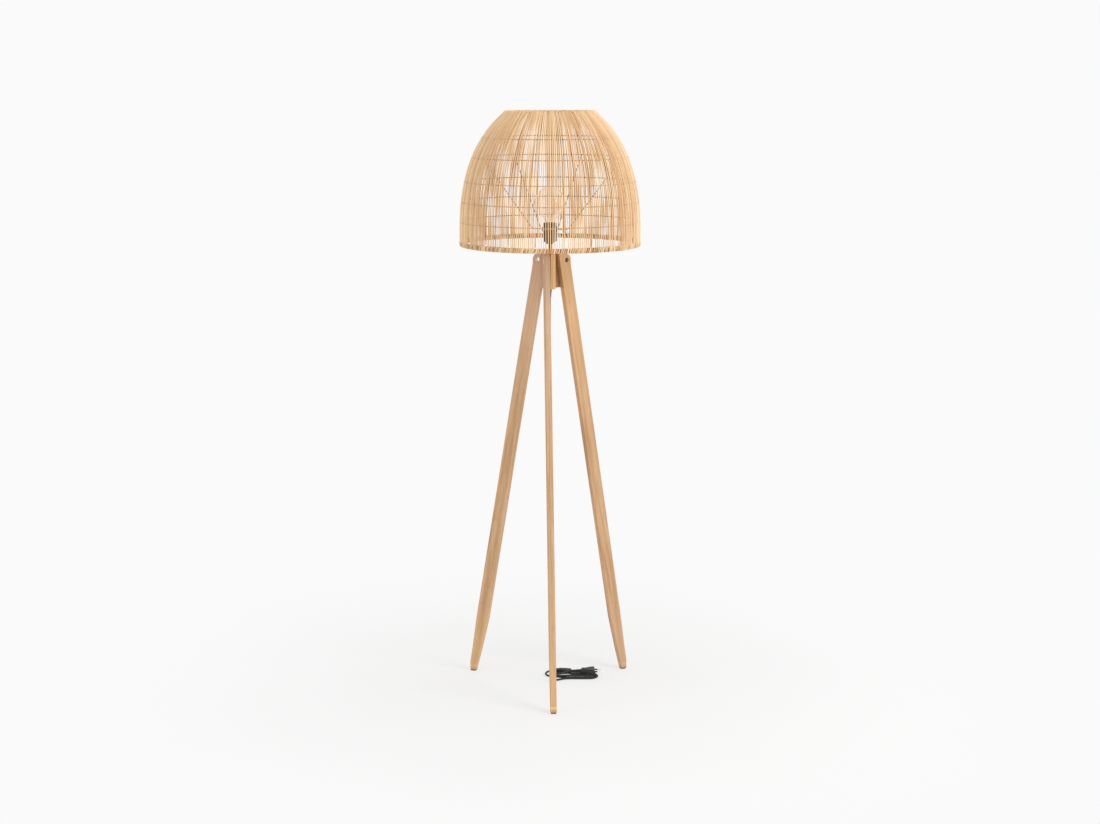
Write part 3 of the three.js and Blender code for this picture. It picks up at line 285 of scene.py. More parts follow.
leg_woods = {}
# Each leg's head gets a painted-shade tone, and the front foot gets the strongest painted
# highlight.
for place, head_shade_tone, foot_tone, foot_highlight_and_end in (
        ("front", (198, 166, 142), (212, 170, 114), 0.6),
        ("right", (216, 171, 123), (197, 160, 126), 0.15),
        ("left", (214, 180, 152), (216, 176, 124), 0.15)):
    leg_woods[place] = wood_material(
        f"plank_wood_{place}", (218, 179, 138), (164, 119, 76), UP - LEGS[place][0] * LEG_LEAN,
        (head_shade_tone, foot_tone, foot_highlight_and_end))
# Painted light: near-white wood for the hole walls, standing in for the light seen through the
# holes.
hole_light_wood = wood_material("hole_light_wood", (254, 246, 232), (244, 226, 202))
hub_wood = wood_material("hub_wood", *HUB_TONES)
dowel_wood = wood_material("dowel_wood", *HUB_TONES, (1, 0, 0))
# Painted shade: darker wood for the right plank's hole wall, its inner edge above the hub's bottom,
# and the right fin's face beside its plank.
recess_shade_wood = wood_material("recess_shade_wood", (190, 156, 116), (166, 132, 92))
# Painted shade on the fins: dark on the front fin's face beside its plank, the recess shade on the
# right fin's face, and a pinker tone on all of the left fin.
fin_shade_woods = {
    "front": wood_material("fin_front_gap_shade", (128, 88, 48), (102, 66, 34)),
    "right": recess_shade_wood,
    "left": wood_material("fin_left_shade", (208, 172, 144), (184, 144, 112)),
}
print("wood finishes:", len(bpy.data.materials))


# %% Cane finish
def cane_material(name, pale, dark):
    """Cane: pale straw to brown from one cane to the next, with nodes and long fibres along it."""
    material, tree, shader = new_material(name)
    own = put(tree, "Attribute", attribute_name="cane").outputs["Vector"]
    own = put(tree, "SeparateXYZ", {"Vector": own}).outputs
    along, tint, chance = own["X"], own["Y"], own["Z"]
    spot = put(tree, "CombineXYZ", {
        "X": maths(tree, "MULTIPLY", along, 9), "Y": maths(tree, "MULTIPLY", chance, 97),
    }).outputs["Vector"]
    stain = spread(tree, noise(tree, spot, 1, 4, 0.6), 0.5, 0.8, 0, 0.45)
    fibres = noise(tree, mapping(tree, on_object(tree), (1, 1, 0.05)), 2600, 2)
    colour = mixed(tree, tint, screen(*pale), screen(*dark))
    colour = mixed(tree, stain, colour, screen(176, 128, 80))
    colour = mixed(tree, spread(tree, fibres, 0.35, 0.65, 0, 0.22), colour, screen(186, 141, 96))
    feed(tree, shader.inputs, {
        "Base Color": colour, "Roughness": spread(tree, fibres, 0.3, 0.7, 0.45, 0.7),
        "Specular IOR Level": 0.4, "Normal": relief(tree, fibres, 0.3, 0.0001),
    })
    return material


cane_skin = cane_material("cane_skin", (254, 227, 186), (226, 181, 132))
binding_skin = cane_material("binding_skin", (252, 218, 172), (196, 144, 94))
# Painted shade: a dark cane colour for the cores that show between the rim's turns and between the
# cane ends at the mouth.
seam_shade_skin = cane_material("seam_shade_skin", (126, 86, 50), (98, 64, 36))


# %% Plain finishes
def plain(name, base, patch, smooth, dull, metallic=0, scale=1500, depth=0.00005):
    """A moulded or metal finish: an even colour with soft patches, rubbed spots and relief."""
    material, tree, shader = new_material(name)
    where = on_object(tree)
    patches = put(tree, "Group", {
        "Vector": where, "Base": screen(*base), "Patch": screen(*patch), "Scale": 60,
    }, node_tree=mottle).outputs
    fine = put(tree, "Group", {
        "Vector": where, "Scale": scale, "Smooth": smooth, "Dull": dull,
    }, node_tree=tooth).outputs
    feed(tree, shader.inputs, {
        "Base Color": patches["Color"], "Roughness": fine["Roughness"], "Metallic": metallic,
        "Normal": relief(tree, fine["Height"], 0.3, depth),
    })
    return material


wire_paint = plain("wire_brown", (150, 118, 76), (124, 96, 58), 0.35, 0.55, metallic=0.3)
rib_paint = plain("rib_brown", (188, 148, 100), (160, 122, 78), 0.45, 0.65)
thread_jute = plain("thread_jute", (212, 172, 124), (186, 146, 98), 0.8, 0.95, depth=0.0002)
steel = plain("zinc_steel", (190, 186, 178), (160, 156, 148), 0.25, 0.42, metallic=1)
nickel = plain("pin_nickel", (240, 239, 237), (226, 224, 220), 0.22, 0.36, metallic=1)
tube_bronze = plain("tube_bronze", (126, 108, 76), (96, 80, 54), 0.35, 0.5, metallic=0.8)
holder_black = plain("holder_black", (42, 39, 37), (30, 28, 27), 0.3, 0.45)
plastic_black = plain("plug_black", (30, 30, 31), (21, 21, 22), 0.42, 0.6)
cord_black = plain(
    "cord_black", (27, 27, 28), (19, 19, 20), 0.5, 0.68, scale=500, depth=0.00001)
pad_felt = plain("pad_felt", (132, 110, 74), (108, 90, 60), 0.85, 1, depth=0.0004)
phosphor = plain("filament_phosphor", (252, 196, 122), (240, 172, 96), 0.4, 0.6)


# %% Glass finishes
def glass_material(name, tint, roughness, coat):
    """Thin clear glass, which hardly bends the light, with a coat for its highlights."""
    material, tree, shader = new_material(name)
    film = put(tree, "Group", {
        "Vector": on_object(tree), "Base": (*tint, 1), "Patch": (*(v * 0.985 for v in tint), 1),
        "Scale": 25,
    }, node_tree=mottle)
    feed(tree, shader.inputs, {
        "Base Color": film.outputs["Color"], "Transmission Weight": 1, "Roughness": roughness,
        "IOR": 1.08, "Coat Weight": coat, "Coat Roughness": 0.02,
    })
    return material


amber_glass = glass_material("amber_glass", (1, 0.91, 0.82), 0, 0.8)
clear_glass = glass_material("clear_glass", (0.99, 0.98, 0.96), 0.02, 0.4)
print("materials:", len(bpy.data.materials))


# %% [markdown]
# ## Making pieces
#
# Most new pieces start as a primitive and are shaped in edit mode. Round ones grow ring by ring:
# a circle is extruded up the axis and scaled at each step, as on a lathe. Moulded ones could be
# built again from nothing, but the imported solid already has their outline. A copy of it has its
# triangles merged into whole faces, and the Bevel modifier gives its sharp edges a real radius.

# %% Selection and finishing helpers
def deselect():
    """Lets go of everything, because an operator acts on all that is selected."""
    bpy.ops.object.select_all(action="DESELECT")


def pick(*objects):
    """Selects these objects alone, with the first one active."""
    deselect()
    for obj in objects:
        obj.select_set(True)
    bpy.context.view_layer.objects.active = objects[0]


def edit(obj, action="SELECT"):
    """Opens a piece in edit mode, with all of it selected or nothing."""
    pick(obj)
    bpy.ops.object.mode_set(mode="EDIT")
    bpy.ops.mesh.select_all(action=action)


def out():
    """Leaves edit mode."""
    bpy.ops.object.mode_set(mode="OBJECT")


def face_out(obj, merge=False):
    """Turns a piece's faces outwards, after its doubled points are merged where it has any."""
    edit(obj)
    if merge:
        bpy.ops.mesh.remove_doubles(threshold=1e-6)
    bpy.ops.mesh.normals_make_consistent(inside=False)
    out()


def smooth(obj, angle_deg=30):
    """Shades a piece smooth, except across edges sharper than an angle."""
    pick(obj)
    bpy.ops.object.shade_smooth_by_angle(angle=radians(angle_deg))
    return obj


def modify(obj, kind, **values):
    """Adds a modifier with these settings and applies it."""
    pick(obj)
    modifier = obj.modifiers.new(kind.title(), kind)
    for key, value in values.items():
        setattr(modifier, key, value)
    bpy.ops.object.modifier_apply(modifier=modifier.name)


def join(objects):
    """Joins objects into the first one."""
    pick(*objects)
    bpy.ops.object.join()
    return bpy.context.object


def add(name, data):
    """Puts a mesh or a curve into the scene as an object."""
    obj = bpy.data.objects.new(name, data)
    bpy.context.scene.collection.objects.link(obj)
    return obj


def paint(obj, material):
    """Gives an object this material alone."""
    obj.data.materials.clear()
    obj.data.materials.append(material)


def settle(obj, name, material, slot, *nodes, body="root"):
    """Puts a finished piece's place in its mesh, names it, and rides it on its CAD body."""
    pick(obj)
    bpy.ops.object.transform_apply(location=True, rotation=True, scale=True)
    obj.name = obj.data.name = name
    paint(obj, material)
    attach(obj, body)
    if nodes:
        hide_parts(*nodes)
    print(name, len(obj.data.polygons), "faces")
    return obj


# %% A ring-by-ring lathe
def grown(profile, segments, hollow=False):
    """Grows a round body up the axis. profile is (radius, height) from one end to the other."""
    (radius, height), rest = profile[0], profile[1:]
    deselect()
    bpy.ops.mesh.primitive_circle_add(
        vertices=segments, radius=radius, location=(0, 0, height),
        fill_type="NOTHING" if hollow else "NGON")
    piece = bpy.context.object
    bpy.ops.object.transform_apply(location=True)
    edit(piece)
    extrude = bpy.ops.mesh.extrude_edges_move if hollow else bpy.ops.mesh.extrude_region_move
    for new_radius, new_height in rest:
        extrude(TRANSFORM_OT_translate={"value": (0, 0, new_height - height)})
        share = new_radius / radius
        bpy.ops.transform.resize(value=(share, share, 1), center_override=(0, 0, new_height))
        radius, height = new_radius, new_height
    out()
    face_out(piece, merge=hollow)
    return piece


def turned(rows, segments, bottom=0.0, hollow=False, angle_deg=30):
    """A turned piece from rows of radius and rise in mm, which stands at a height."""
    profile = [(radius * MM, bottom + rise * MM) for radius, rise in rows]
    return smooth(grown(profile, segments, hollow), angle_deg)


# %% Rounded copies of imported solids
def merged_copy(node):
    """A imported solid's mesh as a new piece, with its triangles merged into whole faces."""
    piece = add(f"{node}_copy", bpy.data.objects[node].data.copy())
    edit(piece)
    bpy.ops.mesh.remove_doubles(threshold=2e-5)
    bpy.ops.mesh.dissolve_limited(angle_limit=radians(1))
    out()
    return piece


def round_edges(piece, width, segments=3):
    """Rounds every sharp edge to a small radius."""
    modify(piece, "BEVEL", width=width, segments=segments, limit_method="ANGLE",
           angle_limit=radians(25))
    return smooth(piece, 35)


def rounded_copy(node, width, segments=3):
    return round_edges(merged_copy(node), width, segments)


# %% Round wire along a line of points
def curve(name, points, diameter, sides, steps, straight=False):
    """A round curve through points, which bends smoothly unless it runs straight between them."""
    data = bpy.data.curves.new(name, "CURVE")
    data.dimensions = "3D"
    data.bevel_depth = diameter / 2
    data.bevel_resolution = sides // 2 - 1
    data.use_fill_caps = True
    data.resolution_u = steps
    spline = data.splines.new("POLY" if straight else "BEZIER")
    row = spline.points if straight else spline.bezier_points
    row.add(len(points) - 1)
    for knot, point in zip(row, points):
        knot.co = (*point, 1) if straight else point
        if not straight:
            knot.handle_left_type = knot.handle_right_type = "AUTO"
    return add(name, data)


def wire(points, diameter, sides=8, straight=False):
    """A round wire through points, as a mesh with closed ends."""
    pick(curve("wire", points, diameter, sides, 3, straight))
    bpy.ops.object.convert(target="MESH")
    piece = bpy.context.object
    face_out(piece, merge=True)
    return smooth(piece, 50)


# %% [markdown]
# ## Cord
#
# The cord is one length of 5 mm flex. Its first stretch drops from the outlet under the hub,
# turns along the floor in a wide curve and runs round to the switch. The second leaves the
# switch, lies in two long loops on each other, and ends in the plug. Both follow the packed
# solids. Each stays a curve with a round bevel, because that is how flex bends and is measured.
# The lead's points are in millimetres, and the hank's come from its folds.

# %% Lead from the outlet to the switch
CORD_DIAMETER = 5 * MM
CORD_FLOOR = 2.65 * MM
CORD_SIDES, CORD_STEPS = 10, 6
LEAD_POINTS = [
    (0, 0, 1042.2), (0, 0, 1027.2), (0.3, 0.2, 800), (1.2, 0.8, 500), (2.2, 1.5, 250),
    (2.8, 1.9, 110), (3, 2, 60), (3.3, 2.4, 46), (4.3, 3.4, 33.5), (6.9, 5.8, 20.5),
    (11.2, 9.6, 10), (17.4, 14.8, 4.2), (24.6, 20.5, 2.65), (33, 25.8, 2.65), (44, 29.6, 2.65),
    (58, 30.8, 2.65), (74, 30.6, 2.65), (90, 30.6, 2.65), (107, 31, 2.65), (117.8, 33.9, 2.65),
    (125.6, 41.8, 2.65), (128.5, 52.5, 2.65), (125.6, 63.3, 2.65), (117.8, 71.6, 2.65),
    (107, 75.4, 2.65), (94, 77.8, 2.65), (82, 80, 3.2), (73, 81.2, 4.9), (65, 81.5, 6.7),
    (58.3, 81.5, 6.7),
]


def lay_cord(name, points):
    """A cord along its points, which stays a curve."""
    piece = curve(name, points, CORD_DIAMETER, CORD_SIDES, CORD_STEPS)
    paint(piece, cord_black)
    length = sum((Vector(b) - Vector(a)).length for a, b in zip(points, points[1:]))
    print(name, round(length, 3), "m along its points")
    return piece


lead_line = [tuple(v * MM for v in point) for point in LEAD_POINTS]
lead = lay_cord("cord_lead_flex", lead_line)


# %% Hank from the switch to the plug
HANK_LEFT, HANK_RIGHT = mm(22, 107)
HANK_LENGTH = HANK_RIGHT - HANK_LEFT
HANK_MIDDLE_Y, HANK_HALF_WIDTH, HANK_WAIST = mm(52.5, 15.9, 2.6)
LAYER_PITCH = 5.5 * MM
SWITCH_Y, SWITCH_AXIS, SWITCH_LEFT = mm(81.5, 6.7, 9.7)
START_FOLD_RADIUS, START_SWEEP_END = mm(16, 42)
END_SWEEP_START = 24 * MM
PLUG_INLET_X, PLUG_AXIS = mm(64.4, 17.65)
FOLD_STEPS = 6


def ease(share):
    """A share that sets off and arrives gently."""
    share = np.clip(share, 0, 1)
    return share * share * (3 - 2 * share)


def waist(x):
    """The hank's half width at x: its strands draw together half way along."""
    along = min(1, max(0, (x - HANK_LEFT) / HANK_LENGTH))
    return HANK_HALF_WIDTH - HANK_WAIST * sin(pi * along) ** 2


def fold(x, start, levels, y=HANK_MIDDLE_Y, radius=HANK_HALF_WIDTH):
    """Half a turn from an angle on, with a point at each level."""
    turns = [start + i / FOLD_STEPS * pi for i in range(len(levels))]
    return [(x + radius * cos(turn), y + radius * sin(turn), level)
            for turn, level in zip(turns, levels)]


def sweep(start, end, shares):
    """A stretch that runs evenly in x and eases over in y and z."""
    return [(start[0] + share * (end[0] - start[0]),
             *(a + (b - a) * ease(share) for a, b in zip(start[1:], end[1:]))) for share in shares]


def loop(layer):
    """One turn of the hank. It climbs to the next layer on its way back."""
    base = CORD_FLOOR + layer * LAYER_PITCH
    shares = [i / FOLD_STEPS for i in range(FOLD_STEPS)]
    line = []
    for x in [HANK_LEFT + share * HANK_LENGTH for share in shares]:
        line.append((x, HANK_MIDDLE_Y - waist(x), base))
    line += fold(HANK_RIGHT, -pi / 2, [base] * FOLD_STEPS)
    for share in shares:
        x = HANK_RIGHT - share * HANK_LENGTH
        line.append((x, HANK_MIDDLE_Y + waist(x), base + ease((share - 0.3) / 0.7) * LAYER_PITCH))
    return line + fold(HANK_LEFT, pi / 2, [base + LAYER_PITCH] * FOLD_STEPS)


def hank_line():
    """The hank from the switch: a fold down to the floor, two loops, and a sweep into the plug."""
    fold_x, fold_y = SWITCH_LEFT - CORD_DIAMETER, SWITCH_Y - START_FOLD_RADIUS
    line = [(SWITCH_LEFT, SWITCH_Y, SWITCH_AXIS)]
    levels = [SWITCH_AXIS + (CORD_FLOOR - SWITCH_AXIS) * ease(i / FOLD_STEPS)
              for i in range(FOLD_STEPS + 1)]
    line += fold(fold_x, pi / 2, levels, fold_y, START_FOLD_RADIUS)
    line += sweep((fold_x, fold_y - START_FOLD_RADIUS, CORD_FLOOR),
                  (START_SWEEP_END, HANK_MIDDLE_Y - waist(START_SWEEP_END), CORD_FLOOR),
                  (0.2, 0.4, 0.6, 0.8))
    line += [point for i, point in enumerate(loop(0))
             if i >= FOLD_STEPS or point[0] >= START_SWEEP_END]
    line += loop(1)
    front, top = HANK_MIDDLE_Y - HANK_HALF_WIDTH, CORD_FLOOR + 2 * LAYER_PITCH
    line.append((HANK_LEFT, front, top))
    line += sweep((END_SWEEP_START, front, top),
                  (PLUG_INLET_X - CORD_DIAMETER, HANK_MIDDLE_Y, PLUG_AXIS), (0.25, 0.5, 0.75, 1))
    return line + [(PLUG_INLET_X, HANK_MIDDLE_Y, PLUG_AXIS)]


hank_points = hank_line()
hank = lay_cord("cord_hank_flex", hank_points)


# %% [markdown]
# ## Legs
#
# Each leg is a sawn plank whose outer corner at the head is rounded off on a belt sander. The
# packed plank has its taper and its hole. Here the head is cut back to a larger round with a fan
# of flat cuts, the edges are eased, and the hole is wider. Its wall is painted near white, as the
# light that shows through it, but in the right plank both the hole's wall and the edge beside the
# hub are painted dark as shade. The last stretch above the floor leans in a little, because the
# taper takes wood off both sides.

# %% Shape a plank
HEAD_TOP, HEAD_ROUND, HEAD_OUTER_REACH = mm(1158, 22, 52.3)
HOLE_REACH, HOLE_HEIGHT = mm(38.5, 1139)
HOLE_PACKED_RADIUS, HOLE_RADIUS = mm(5.3, 6.2)
NEAR_HOLE_WALL = 0.3 * MM
HUB_BOTTOM = 1067 * MM
TAPER_TOP, TAPER_END, DRAWN_IN = mm(155, 62, 2.5)


def cut(piece, place, facing, **settings):
    """Cuts a piece's faces along a plane."""
    edit(piece)
    bpy.ops.mesh.bisect(plane_co=place, plane_no=facing, **settings)
    out()


def round_head(plank, reach):
    """Takes the head's outer corner off with a fan of flat cuts."""
    centre = reach * (HEAD_OUTER_REACH - HEAD_ROUND) + UP * (HEAD_TOP - HEAD_ROUND)
    for turn in (10, 27, 45, 63, 80):
        facing = reach * cos(radians(turn)) + UP * sin(radians(turn))
        cut(plank, centre + facing * HEAD_ROUND, facing, use_fill=True, clear_outer=True)


def from_hole_axis(place, reach, through):
    """The way from the axis of the head's hole to a point, as a vector."""
    offset = Vector(place) - reach * HOLE_REACH - UP * HOLE_HEIGHT
    return offset - through * offset.dot(through)


def open_hole(plank, reach, through):
    """Widens the hole by pushing its wall outwards."""
    for vertex in plank.data.vertices:
        offset = from_hole_axis(vertex.co, reach, through)
        if abs(offset.length - HOLE_PACKED_RADIUS) < NEAR_HOLE_WALL:
            vertex.co += offset * (HOLE_RADIUS / HOLE_PACKED_RADIUS - 1)


def draw_in_foot(piece, reach):
    """Moves what lies below the taper's start towards the lamp's axis."""
    for vertex in piece.data.vertices:
        share = (TAPER_TOP - vertex.co.z) / (TAPER_TOP - TAPER_END)
        vertex.co -= reach * DRAWN_IN * min(1, max(0, share))


# %% Planks
def tone_faces(piece, material, chosen):
    """Gives the faces that a test picks a wood of their own."""
    piece.data.materials.append(material)
    for face in piece.data.polygons:
        if chosen(face):
            face.material_index = len(piece.data.materials) - 1


for place, (reach, through) in LEGS.items():
    plank = merged_copy(f"leg_{place}")
    round_head(plank, reach)
    for height in (HUB_BOTTOM, TAPER_TOP, TAPER_END):
        cut(plank, UP * height, UP)
    draw_in_foot(plank, reach)
    open_hole(plank, reach, through)
    round_edges(plank, 0.7 * MM, 2)
    settle(plank, f"plank_{place}", leg_woods[place], "leg_wood", f"leg_{place}")
    # The hole walls get the painted-light wood, and the right plank's walls get the painted-shade
    # wood.
    tone_faces(
        plank, recess_shade_wood if place == "right" else hole_light_wood,
        lambda face: from_hole_axis(face.center, reach, through).length < HOLE_RADIUS * 1.1
        and abs(face.normal.dot(through)) < 0.9)
    # Painted shade: the right plank's inner edge above the hub's bottom is darker.
    if place == "right":
        tone_faces(plank, recess_shade_wood,
                   lambda face: face.normal.dot(reach) < -0.3 and face.center.z > HUB_BOTTOM)


# %% [markdown]
# ## Hub, dowels and pads
#
# The hub is a block of the same timber with three fins. The left fin is painted pink all over
# as shade, like its plank's head, and the sides of the front and the right one beside their
# planks are painted dark as shade. Each fin's face is planed back from its plank, which opens a
# gap for the dark line beside the front plank, and two fins reach a little further out than the
# imported ones. A new block would have to be fitted again, so the imported one's points are
# moved instead. The dowels and pads keep their forms.

# %% Hub, dowels and pads
FIN_REACH, FIN_ROOT, FIN_START = mm(26, 13, 9)
FIN_BACK, FIN_FRONT = mm(-13, 5)
FIN_FACE, SHADOW_GAP = mm(4.1, 2.7)
FIN_EXTRA = {"front": 5 * MM, "right": 7 * MM, "left": -1 * MM}
DOWEL_LEVEL, DOWEL_ROOM = mm(1124, 4)


def on_fin(along, across):
    """Whether a place lies on a fin, from how far it is along and across it."""
    return along > FIN_START and FIN_BACK < across < FIN_FRONT


def reset_fins(hub):
    """Moves the three fins' ends in or out, and each fin's face back from its plank."""
    for place, (reach, through) in LEGS.items():
        for vertex in hub.data.vertices:
            along, across = vertex.co.dot(reach), vertex.co.dot(through)
            if not on_fin(along, across):
                continue
            at_dowel = abs(vertex.co.z - DOWEL_LEVEL) < DOWEL_ROOM
            if abs(along - FIN_REACH) < 1 * MM and not at_dowel:
                vertex.co += reach * FIN_EXTRA[place]
            if FIN_FACE - 1 * MM < across < FIN_FACE + 0.2 * MM:
                vertex.co -= through * SHADOW_GAP
                if along < FIN_ROOT:
                    vertex.co += reach * SHADOW_GAP * tan(radians(30))


hub = merged_copy("hub")
reset_fins(hub)
round_edges(hub, 0.5 * MM, 2)
settle(hub, "hub_block", hub_wood, "leg_wood", "hub")
for place, (reach, through) in LEGS.items():
    # Painted shade: the whole left fin, and the other fins' faces beside their planks.
    tone_faces(
        hub, fin_shade_woods[place],
        lambda face: on_fin(face.center.dot(reach), face.center.dot(through))
        and (place == "left" or face.normal.dot(through) > 0.5))
    paint(bpy.data.objects[f"dowel_{place}"], dowel_wood)
    pad = rounded_copy(f"foot_pad_{place}", 0.4 * MM, 2)
    draw_in_foot(pad, reach)
    settle(pad, f"pad_{place}", pad_felt, "foot_pad", f"foot_pad_{place}")


# %% [markdown]
# ## Tube, nuts and cord outlet
#
# A plain threaded tube joins hub and holder. Its thread shows between the holder and the upper
# nut. A true helix would look no different at this size, so the tube is grown with one closed
# groove for each turn. The nuts keep their packed hexagons with softened corners, and the cord
# leaves through a tapered sleeve with narrow grooves.

# %% Threaded tube and nuts
TUBE_BOTTOM, TUBE_TOP = mm(1063.1, 1195.7)
TUBE_OUTER, TUBE_ROOT, TUBE_BORE = mm(5, 4.5, 3.6)
THREAD_PITCH = 1.5 * MM

profile = [(TUBE_BORE, TUBE_BOTTOM), (TUBE_ROOT, TUBE_BOTTOM)]
for i in range(int((TUBE_TOP - TUBE_BOTTOM) / THREAD_PITCH)):
    height = TUBE_BOTTOM + i * THREAD_PITCH
    profile += [(TUBE_OUTER, height + THREAD_PITCH / 2), (TUBE_ROOT, height + THREAD_PITCH)]
profile += [(TUBE_ROOT, TUBE_TOP), (TUBE_BORE, TUBE_TOP), (TUBE_BORE, TUBE_BOTTOM)]
tube = smooth(grown(profile, 20, hollow=True), 20)
settle(tube, "tube_threaded", tube_bronze, "steel", "threaded_tube")
for level in ("upper", "lower"):
    nut = rounded_copy(f"hub_nut_{level}", 0.5 * MM)
    settle(nut, f"nut_{level}", steel, "steel", f"hub_nut_{level}")


# %% Cord outlet relief
def sleeve(length, top_radius, end_radius, groove_depth, grooves=4):
    """A tapered sleeve with narrow grooves, so that it bends evenly."""
    profile = [(end_radius * 0.92, 0), (end_radius, 0.4 * MM)]
    for i in range(grooves):
        low, high = (i + 0.7) / (grooves + 1.5), (i + 1.1) / (grooves + 1.5)
        for share, sunk in ((low, 0), (low + 0.02, groove_depth), (high - 0.02, groove_depth),
                            (high, 0)):
            radius = end_radius + (top_radius - end_radius) * share
            profile.append((radius - sunk, share * length))
    profile += [(top_radius, length - 0.4 * MM), (top_radius * 0.95, length)]
    return smooth(grown(profile, 28))


OUTLET_BOTTOM = 1042.5 * MM + 0.3 * MM

outlet = sleeve(*mm(20, 4.6, 3.1, 0.7))
outlet.location.z = OUTLET_BOTTOM
settle(outlet, "outlet_sleeve", plastic_black, "black_plastic", "cord_outlet_relief")


# %% [markdown]
# ## Lampholder
#
# The holder is turned from black plastic: a domed cap that the tube screws into, and a skirt with
# fine grips. Both are round, so they grow from a profile like the tube. Two flat rings with a
# milled edge clamp the shade's carrier. Their notches aren't cut one by one: every third row of
# points is pushed in, which is quicker and leaves clean faces.

# %% Holder base and shell
BASE_BOTTOM, SHELL_BOTTOM = mm(1181.3, 1196.3)

base = turned((
    (5.4, 0), (8.4, 0), (9.0, 0.5), (9.2, 2.6), (10.6, 3.6), (14.0, 4.9), (16.3, 6.0),
    (17.1, 7.2), (17.3, 8.6), (17.3, 14.0), (16.9, 14.7), (5.4, 14.7), (5.4, 0),
), 48, BASE_BOTTOM, hollow=True)
settle(base, "holder_base", holder_black, "black_plastic", "lampholder_base")

rows = [(16.6, 0), (17.3, 0.7)]
for i in range(4):
    rise = 2.2 + i * 1.5
    rows += [(17.3, rise), (16.8, rise + 0.3), (16.8, rise + 0.7), (17.3, rise + 1.0)]
rows += [(17.3, 12), (17.0, 12.4), (17.0, 37.6), (16.8, 38.4), (16.3, 38.9), (14.6, 38.9),
         (14.2, 38.5), (14.2, 9.3)]
shell = turned(rows, 48, SHELL_BOTTOM)
settle(shell, "holder_shell", holder_black, "black_plastic", "lampholder_shell")

# %% Clamp rings with a milled edge
RING_STEPS, NOTCH_EVERY = 96, 3
RING_EDGE, NOTCH_DEPTH = mm(20, 0.5)
LOWER_RING_BOTTOM, UPPER_RING_BOTTOM = mm(1212.8, 1220.4)


def clamp_ring(bottom):
    """A ring whose edge is notched like a coin's, so that fingers can turn it."""
    rows = (17.6, 0), (19.4, 0), (20.2, 0.8), (20.2, 4.2), (19.4, 5.0), (17.6, 5.0), (17.6, 0)
    ring = grown([(r * MM, bottom + h * MM) for r, h in rows], RING_STEPS, hollow=True)
    for vertex in ring.data.vertices:
        radius = hypot(vertex.co.x, vertex.co.y)
        step = round(atan2(vertex.co.y, vertex.co.x) / (2 * pi) * RING_STEPS)
        if radius > RING_EDGE and step % NOTCH_EVERY == 0:
            vertex.co.x *= 1 - NOTCH_DEPTH / radius
            vertex.co.y *= 1 - NOTCH_DEPTH / radius
    return smooth(ring, 25)


for level, bottom in (("lower", LOWER_RING_BOTTOM), ("upper", UPPER_RING_BOTTOM)):
    settle(clamp_ring(bottom), f"clamp_ring_{level}", holder_black, "black_plastic",
           f"shade_ring_{level}")


# %% [markdown]
# ## Bulb
#
# A globe bulb of clear, faintly amber glass, 80 mm across. The glass is a real shell with an
# inner wall, because a solid ball of glass would turn what is behind it upside down. Inside are
# a glass stem and long LED filaments, which fold up and down.

# %% Glass globe
CAP_TOP = 1232.6 * MM
GLASS_BOTTOM = CAP_TOP + 0.3 * MM
GLOBE_RADIUS, GLOBE_NECK, GLASS_WALL = mm(40, 13.2, 0.5)
GLOBE_CENTRE = CAP_TOP + 53.4 * MM
GLOBE_START = radians(-62)
ARC_STEPS = 22


def bend(start, corner, end, share):
    """A place on the smooth bend from start to end, round a corner."""
    return (1 - share) ** 2 * start + 2 * share * (1 - share) * corner + share ** 2 * end


def globe_wall(inset):
    """One wall of the globe from the neck up: a flowing shoulder and then the ball."""
    radius, neck = GLOBE_RADIUS - inset, GLOBE_NECK - inset
    arc = []
    for i in range(ARC_STEPS):
        angle = GLOBE_START + i / ARC_STEPS * (pi / 2 - GLOBE_START)
        arc.append((radius * cos(angle), GLOBE_CENTRE + radius * sin(angle)))
    wide, high = arc[0]
    shoulder = [(bend(neck, neck, wide, share),
                 bend(GLASS_BOTTOM, (GLASS_BOTTOM + high) / 2, high, share))
                for share in (0.2, 0.4, 0.6, 0.8)]
    return [(neck, GLASS_BOTTOM)] + shoulder + arc + [(0.6 * MM, GLOBE_CENTRE + radius)]


def choose(obj, kind, chosen):
    """Opens a piece in edit mode with only those faces or edges that a test picks."""
    edit(obj, "DESELECT")
    mesh = bmesh.from_edit_mesh(obj.data)
    for item in getattr(mesh, kind):
        item.select_set(chosen(item))
    bmesh.update_edit_mesh(obj.data)


outer, inner = grown(globe_wall(0), 64), grown(globe_wall(GLASS_WALL), 64)
edit(inner)
bpy.ops.mesh.flip_normals()
out()
globe = join([outer, inner])
choose(globe, "faces", lambda face: face.calc_center_median().z < GLASS_BOTTOM + 1e-6)
bpy.ops.mesh.delete(type="ONLY_FACE")
out()
choose(globe, "edges", lambda edge: edge.is_boundary)
bpy.ops.mesh.bridge_edge_loops()
out()
settle(smooth(globe, 40), "bulb_globe", amber_glass, "bulb_glass", "bulb_glass")

# %% Cap, stem and filament
SCREW_CAP_BOTTOM = 1205.6 * MM

rows = [(4.4, 0), (4.6, 1.0), (7.0, 2.2), (12.2, 5.0)]
for i in range(5):
    rise = 6.0 + i * 3.6
    rows += [(12.3, rise), (13.0, rise + 1.3), (13.0, rise + 2.0), (12.3, rise + 3.3)]
cap = turned(rows + [(12.9, 25.0), (12.9, 26.9)], 40, SCREW_CAP_BOTTOM, angle_deg=40)
settle(cap, "bulb_screw_cap", steel, "steel", "bulb_cap")

stem = turned((
    (6.0, 0), (5.6, 3), (4.0, 8), (2.4, 13), (2.0, 18), (2.0, 22.5), (1.6, 23.6), (0.8, 24),
), 28, GLASS_BOTTOM)
settle(stem, "bulb_stem_glass", clear_glass, "bulb_glass", "bulb_stem")

